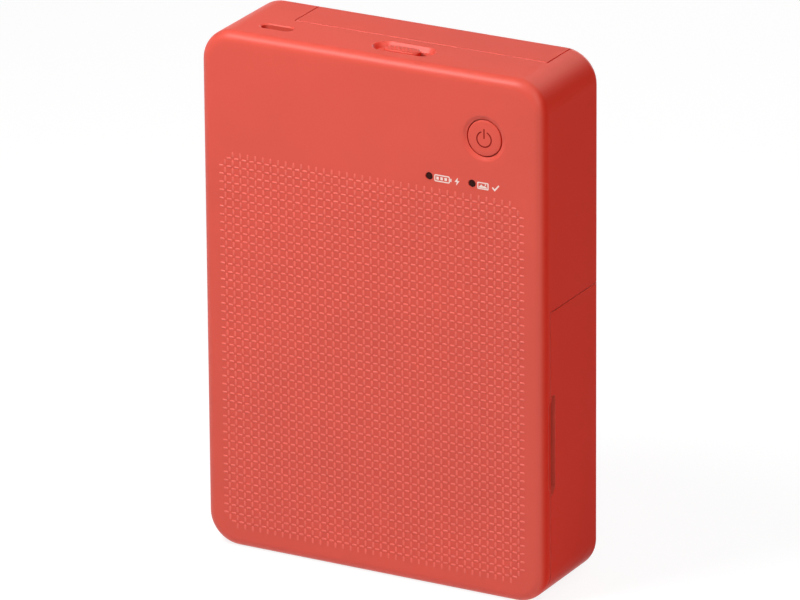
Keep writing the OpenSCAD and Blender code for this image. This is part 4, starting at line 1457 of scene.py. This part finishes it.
class PRINTER_OT_latch(bpy.types.Operator):
    """Gives the latch knob its grip dots and lip, and dresses its bar and spring"""

    bl_idname = "printer.latch"
    bl_label = "Cover latch"

    def execute(self, context):
        low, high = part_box("latch_knob")
        middle = Vector(((low.x + high.x) / 2, (low.y + high.y) / 2, high.z))
        bm = clean_copy("latch_knob")
        round_edges(
            bm, 0.25 * MM, 3,
            lambda e: all(abs(v.co.z - high.z) < 0.01 * MM for v in e.verts),
        )
        self.add_dots(bm, middle, context.scene.printer_sizes.dot_pitch)
        self.add_lip(bm, middle)
        make_piece(
            bm, "knob_moulding", "latch", finish("Coral ABS"),
            ("latch_knob",),
        )
        dress("Grey ABS", "latch_bar")
        dress("Ground steel", "latch_spring")
        return {"FINISHED"}

    def add_dots(self, bm, middle, pitch):
        """Three staggered rows of low domes under the thumb."""
        for row in (-1, 0, 1):
            for k in range(-3, 3 if row else 4):
                x = (k + (0.5 if row else 0)) * pitch - 1.1 * MM
                dome = bmesh.ops.create_icosphere(
                    bm, subdivisions=2, radius=0.5 * MM,
                    matrix=Matrix.Translation(middle + Vector((x, row * 1.0 * MM, 0)))
                    @ Matrix.Diagonal((0.64, 0.64, 0.26, 1)),
                )
                for vert in dome["verts"]:
                    vert.co.z = max(vert.co.z, middle.z - 0.05 * MM)

    def add_lip(self, bm, middle):
        """A curved ridge at the knob's end, for the thumb to push against."""
        ridge = bmesh.ops.create_circle(
            bm, cap_ends=True, radius=0.45 * MM, segments=12,
            matrix=Matrix.Translation(middle + Vector((4.35, 0, -0.24)) * MM)
            @ Matrix.Rotation(math.radians(90), 4, "X"),
        )
        face = [f for f in bm.faces if all(v in ridge["verts"] for v in f.verts)]
        bmesh.ops.rotate(
            bm, verts=ridge["verts"], cent=middle + Vector((2.2 * MM, 0, 0)),
            matrix=Matrix.Rotation(math.radians(-46), 3, "Z"),
        )
        bmesh.ops.spin(
            bm, geom=face, cent=middle + Vector((2.2 * MM, 0, 0)), axis=(0, 0, 1),
            angle=math.radians(92), steps=16, use_merge=False, use_duplicate=False,
        )


class PRINTER_OT_socket(bpy.types.Operator):
    """Dresses the connector's shell and tongue, and plates its contacts"""

    bl_idname = "printer.socket"
    bl_label = "Socket"

    def execute(self, context):
        dress("Drawn nickel steel", "usb_shell")
        dress("Moulded epoxy", "usb_tongue")
        low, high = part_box("usb_tongue")
        middle = (low + high) / 2
        bm = bmesh.new()
        for side, face in ((-1, low.y), (1, high.y)):
            for k in range(12):
                x = middle.x + (k - 5.5) * 0.5 * MM
                near, far = sorted((face - side * 0.01 * MM, face + side * 0.03 * MM))
                bar(
                    bm,
                    Vector((x - 0.13 * MM, near, high.z - 4.4 * MM)),
                    Vector((x + 0.13 * MM, far, high.z - 0.5 * MM)),
                )
        make_piece(bm, "socket_contacts", "root", finish("Gold plate"))
        return {"FINISHED"}


class PRINTER_OT_feet(bpy.types.Operator):
    """Turns the four rubber feet and dresses screws and pins"""

    bl_idname = "printer.feet"
    bl_label = "Feet and screws"

    def execute(self, context):
        low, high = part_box("rear_feet")
        for node, name in (("rear_feet", "panel_pads"), ("cover_feet", "cover_pads")):
            low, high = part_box(node)
            bm = bmesh.new()
            for centre in self.centres(node):
                lathe(
                    bm,
                    [
                        (0, 0), (3.5, 0), (3.5, 0.62), (3.42, 0.8), (3.2, 0.91),
                        (2.9, 0.95), (2.5, 0.93), (2.2, 0.86), (0, 0.84),
                    ],
                    Vector((centre.x, low.y, centre.z)),
                    (0, 1, 0),
                    48,
                )
            make_piece(
                bm, name, body_of(node), finish("Ground rubber"), (node,)
            )
        dress("Ground steel", "case_screws", "frame_screws", "door_pin", "cover_pins")
        return {"FINISHED"}

    def centres(self, node):
        """Middles of the two feet of a solid, one on each side of its middle across."""
        verts = [v.co for v in frame["nodes"][node].data.vertices]
        low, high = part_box(node)
        split = (low.x + high.x) / 2
        sides = [[v for v in verts if v.x < split], [v for v in verts if v.x > split]]
        return [
            Vector(
                (
                    (min(v.x for v in side) + max(v.x for v in side)) / 2,
                    0,
                    (min(v.z for v in side) + max(v.z for v in side)) / 2,
                )
            )
            for side in sides
        ]


class PRINTER_OT_electronics(bpy.types.Operator):
    """Dresses the board, its chips, the switch, the battery and both motors"""

    bl_idname = "printer.electronics"
    bl_label = "Board, battery and motors"

    def execute(self, context):
        dress("Solder mask", "main_board")
        dress("Moulded epoxy", "board_chips")
        dress("Drawn nickel steel", "button_switch", "paper_motor", "ribbon_motor")
        dress("Shrink wrap", "battery")
        return {"FINISHED"}


class PRINTER_OT_mechanism(bpy.types.Operator):
    """Dresses the frame, the rollers, the print head and the paper tray"""

    bl_idname = "printer.mechanism"
    bl_label = "Mechanism"

    def execute(self, context):
        dress(
            "Zinc plated sheet", "left_frame", "right_frame", "motor_plate", "head_beam",
            "pressure_plate",
        )
        dress(
            "Ground steel", "tie_rods", "head_pin", "platen_shaft", "capstan_roller",
            "feed_shaft",
        )
        self.add_springs()
        dress("Extruded aluminium", "head_arm", "heat_sink")
        dress("Glazed alumina", "print_head")
        dress("Ground rubber", "platen_rubber", "feed_tyres")
        dress("Grey ABS", "pinch_roller", "paper_tray")
        return {"FINISHED"}

    def add_springs(self):
        """The head's two springs, which shorten against the beam as the head lifts; here they are
        a rigid copy that does not shorten.
        """
        coils = make_piece(
            clean_copy("head_springs"), "head_coils", body_of("head_springs"),
            finish("Ground steel"), ("head_springs",),
        )
        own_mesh(coils)


class PRINTER_OT_drive(bpy.types.Operator):
    """Dresses the gears, pinions and bushes"""

    bl_idname = "printer.drive"
    bl_label = "Drive gears"

    def execute(self, context):
        dress(
            "Natural acetal", "motor_pinion", "reduction_gear", "low_idler",
            "middle_idler", "high_idler", "capstan_gear", "feed_gear", "ribbon_pinion",
            "takeup_gear", "bushes",
        )
        return {"FINISHED"}


class PRINTER_OT_cassette(bpy.types.Operator):
    """Dresses the ink cassette, its spools, the wound film and the dyed ribbon"""

    bl_idname = "printer.cassette"
    bl_label = "Ink cassette"

    def execute(self, context):
        dress("Charcoal ABS", "cassette_case")
        dress("Natural acetal", "supply_spool", "takeup_spool")
        dress("Dye film", "ink_ribbon")
        for node in ("supply_film", "takeup_film"):
            low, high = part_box(node)
            wound = wound_film(f"Wound film, {node.split('_')[0]}", (low + high) / 2)
            frame["nodes"][node].material_slots[0].material = wound
        return {"FINISHED"}


# ---- Panel and registration -----------------------------------------------------------

STEPS = (
    PRINTER_OT_stage,
    PRINTER_OT_casing,
    PRINTER_OT_relief,
    PRINTER_OT_power_button,
    PRINTER_OT_indicators,
    PRINTER_OT_latch,
    PRINTER_OT_socket,
    PRINTER_OT_feet,
    PRINTER_OT_electronics,
    PRINTER_OT_mechanism,
    PRINTER_OT_drive,
    PRINTER_OT_cassette,
)


class PRINTER_PT_looks(bpy.types.Panel):
    """Sizes, colours and making steps of the photo printer's looks"""

    bl_idname = "PRINTER_PT_looks"
    bl_label = "Photo Printer"
    bl_space_type = "VIEW_3D"
    bl_region_type = "UI"
    bl_category = "Photo Printer"

    def draw(self, context):
        layout = self.layout
        for group in (context.scene.printer_sizes, context.scene.printer_colours):
            column = layout.column()
            for key in group.__annotations__:
                column.prop(group, key)
        column = layout.column()
        for step in STEPS:
            column.operator(step.bl_idname)


CLASSES = (PrinterSizes, PrinterColours, *STEPS, PRINTER_PT_looks)


def register():
    for cls in CLASSES:
        bpy.utils.register_class(cls)
    bpy.types.Scene.printer_sizes = bpy.props.PointerProperty(type=PrinterSizes)
    bpy.types.Scene.printer_colours = bpy.props.PointerProperty(type=PrinterColours)


def unregister():
    del bpy.types.Scene.printer_colours
    del bpy.types.Scene.printer_sizes
    for cls in reversed(CLASSES):
        bpy.utils.unregister_class(cls)


def main():
    """Registers the steps and makes the whole printer."""
    register()
    for step in STEPS:
        group, call = step.bl_idname.split(".")
        getattr(getattr(bpy.ops, group), call)()


if __name__ == "__main__":
    main()
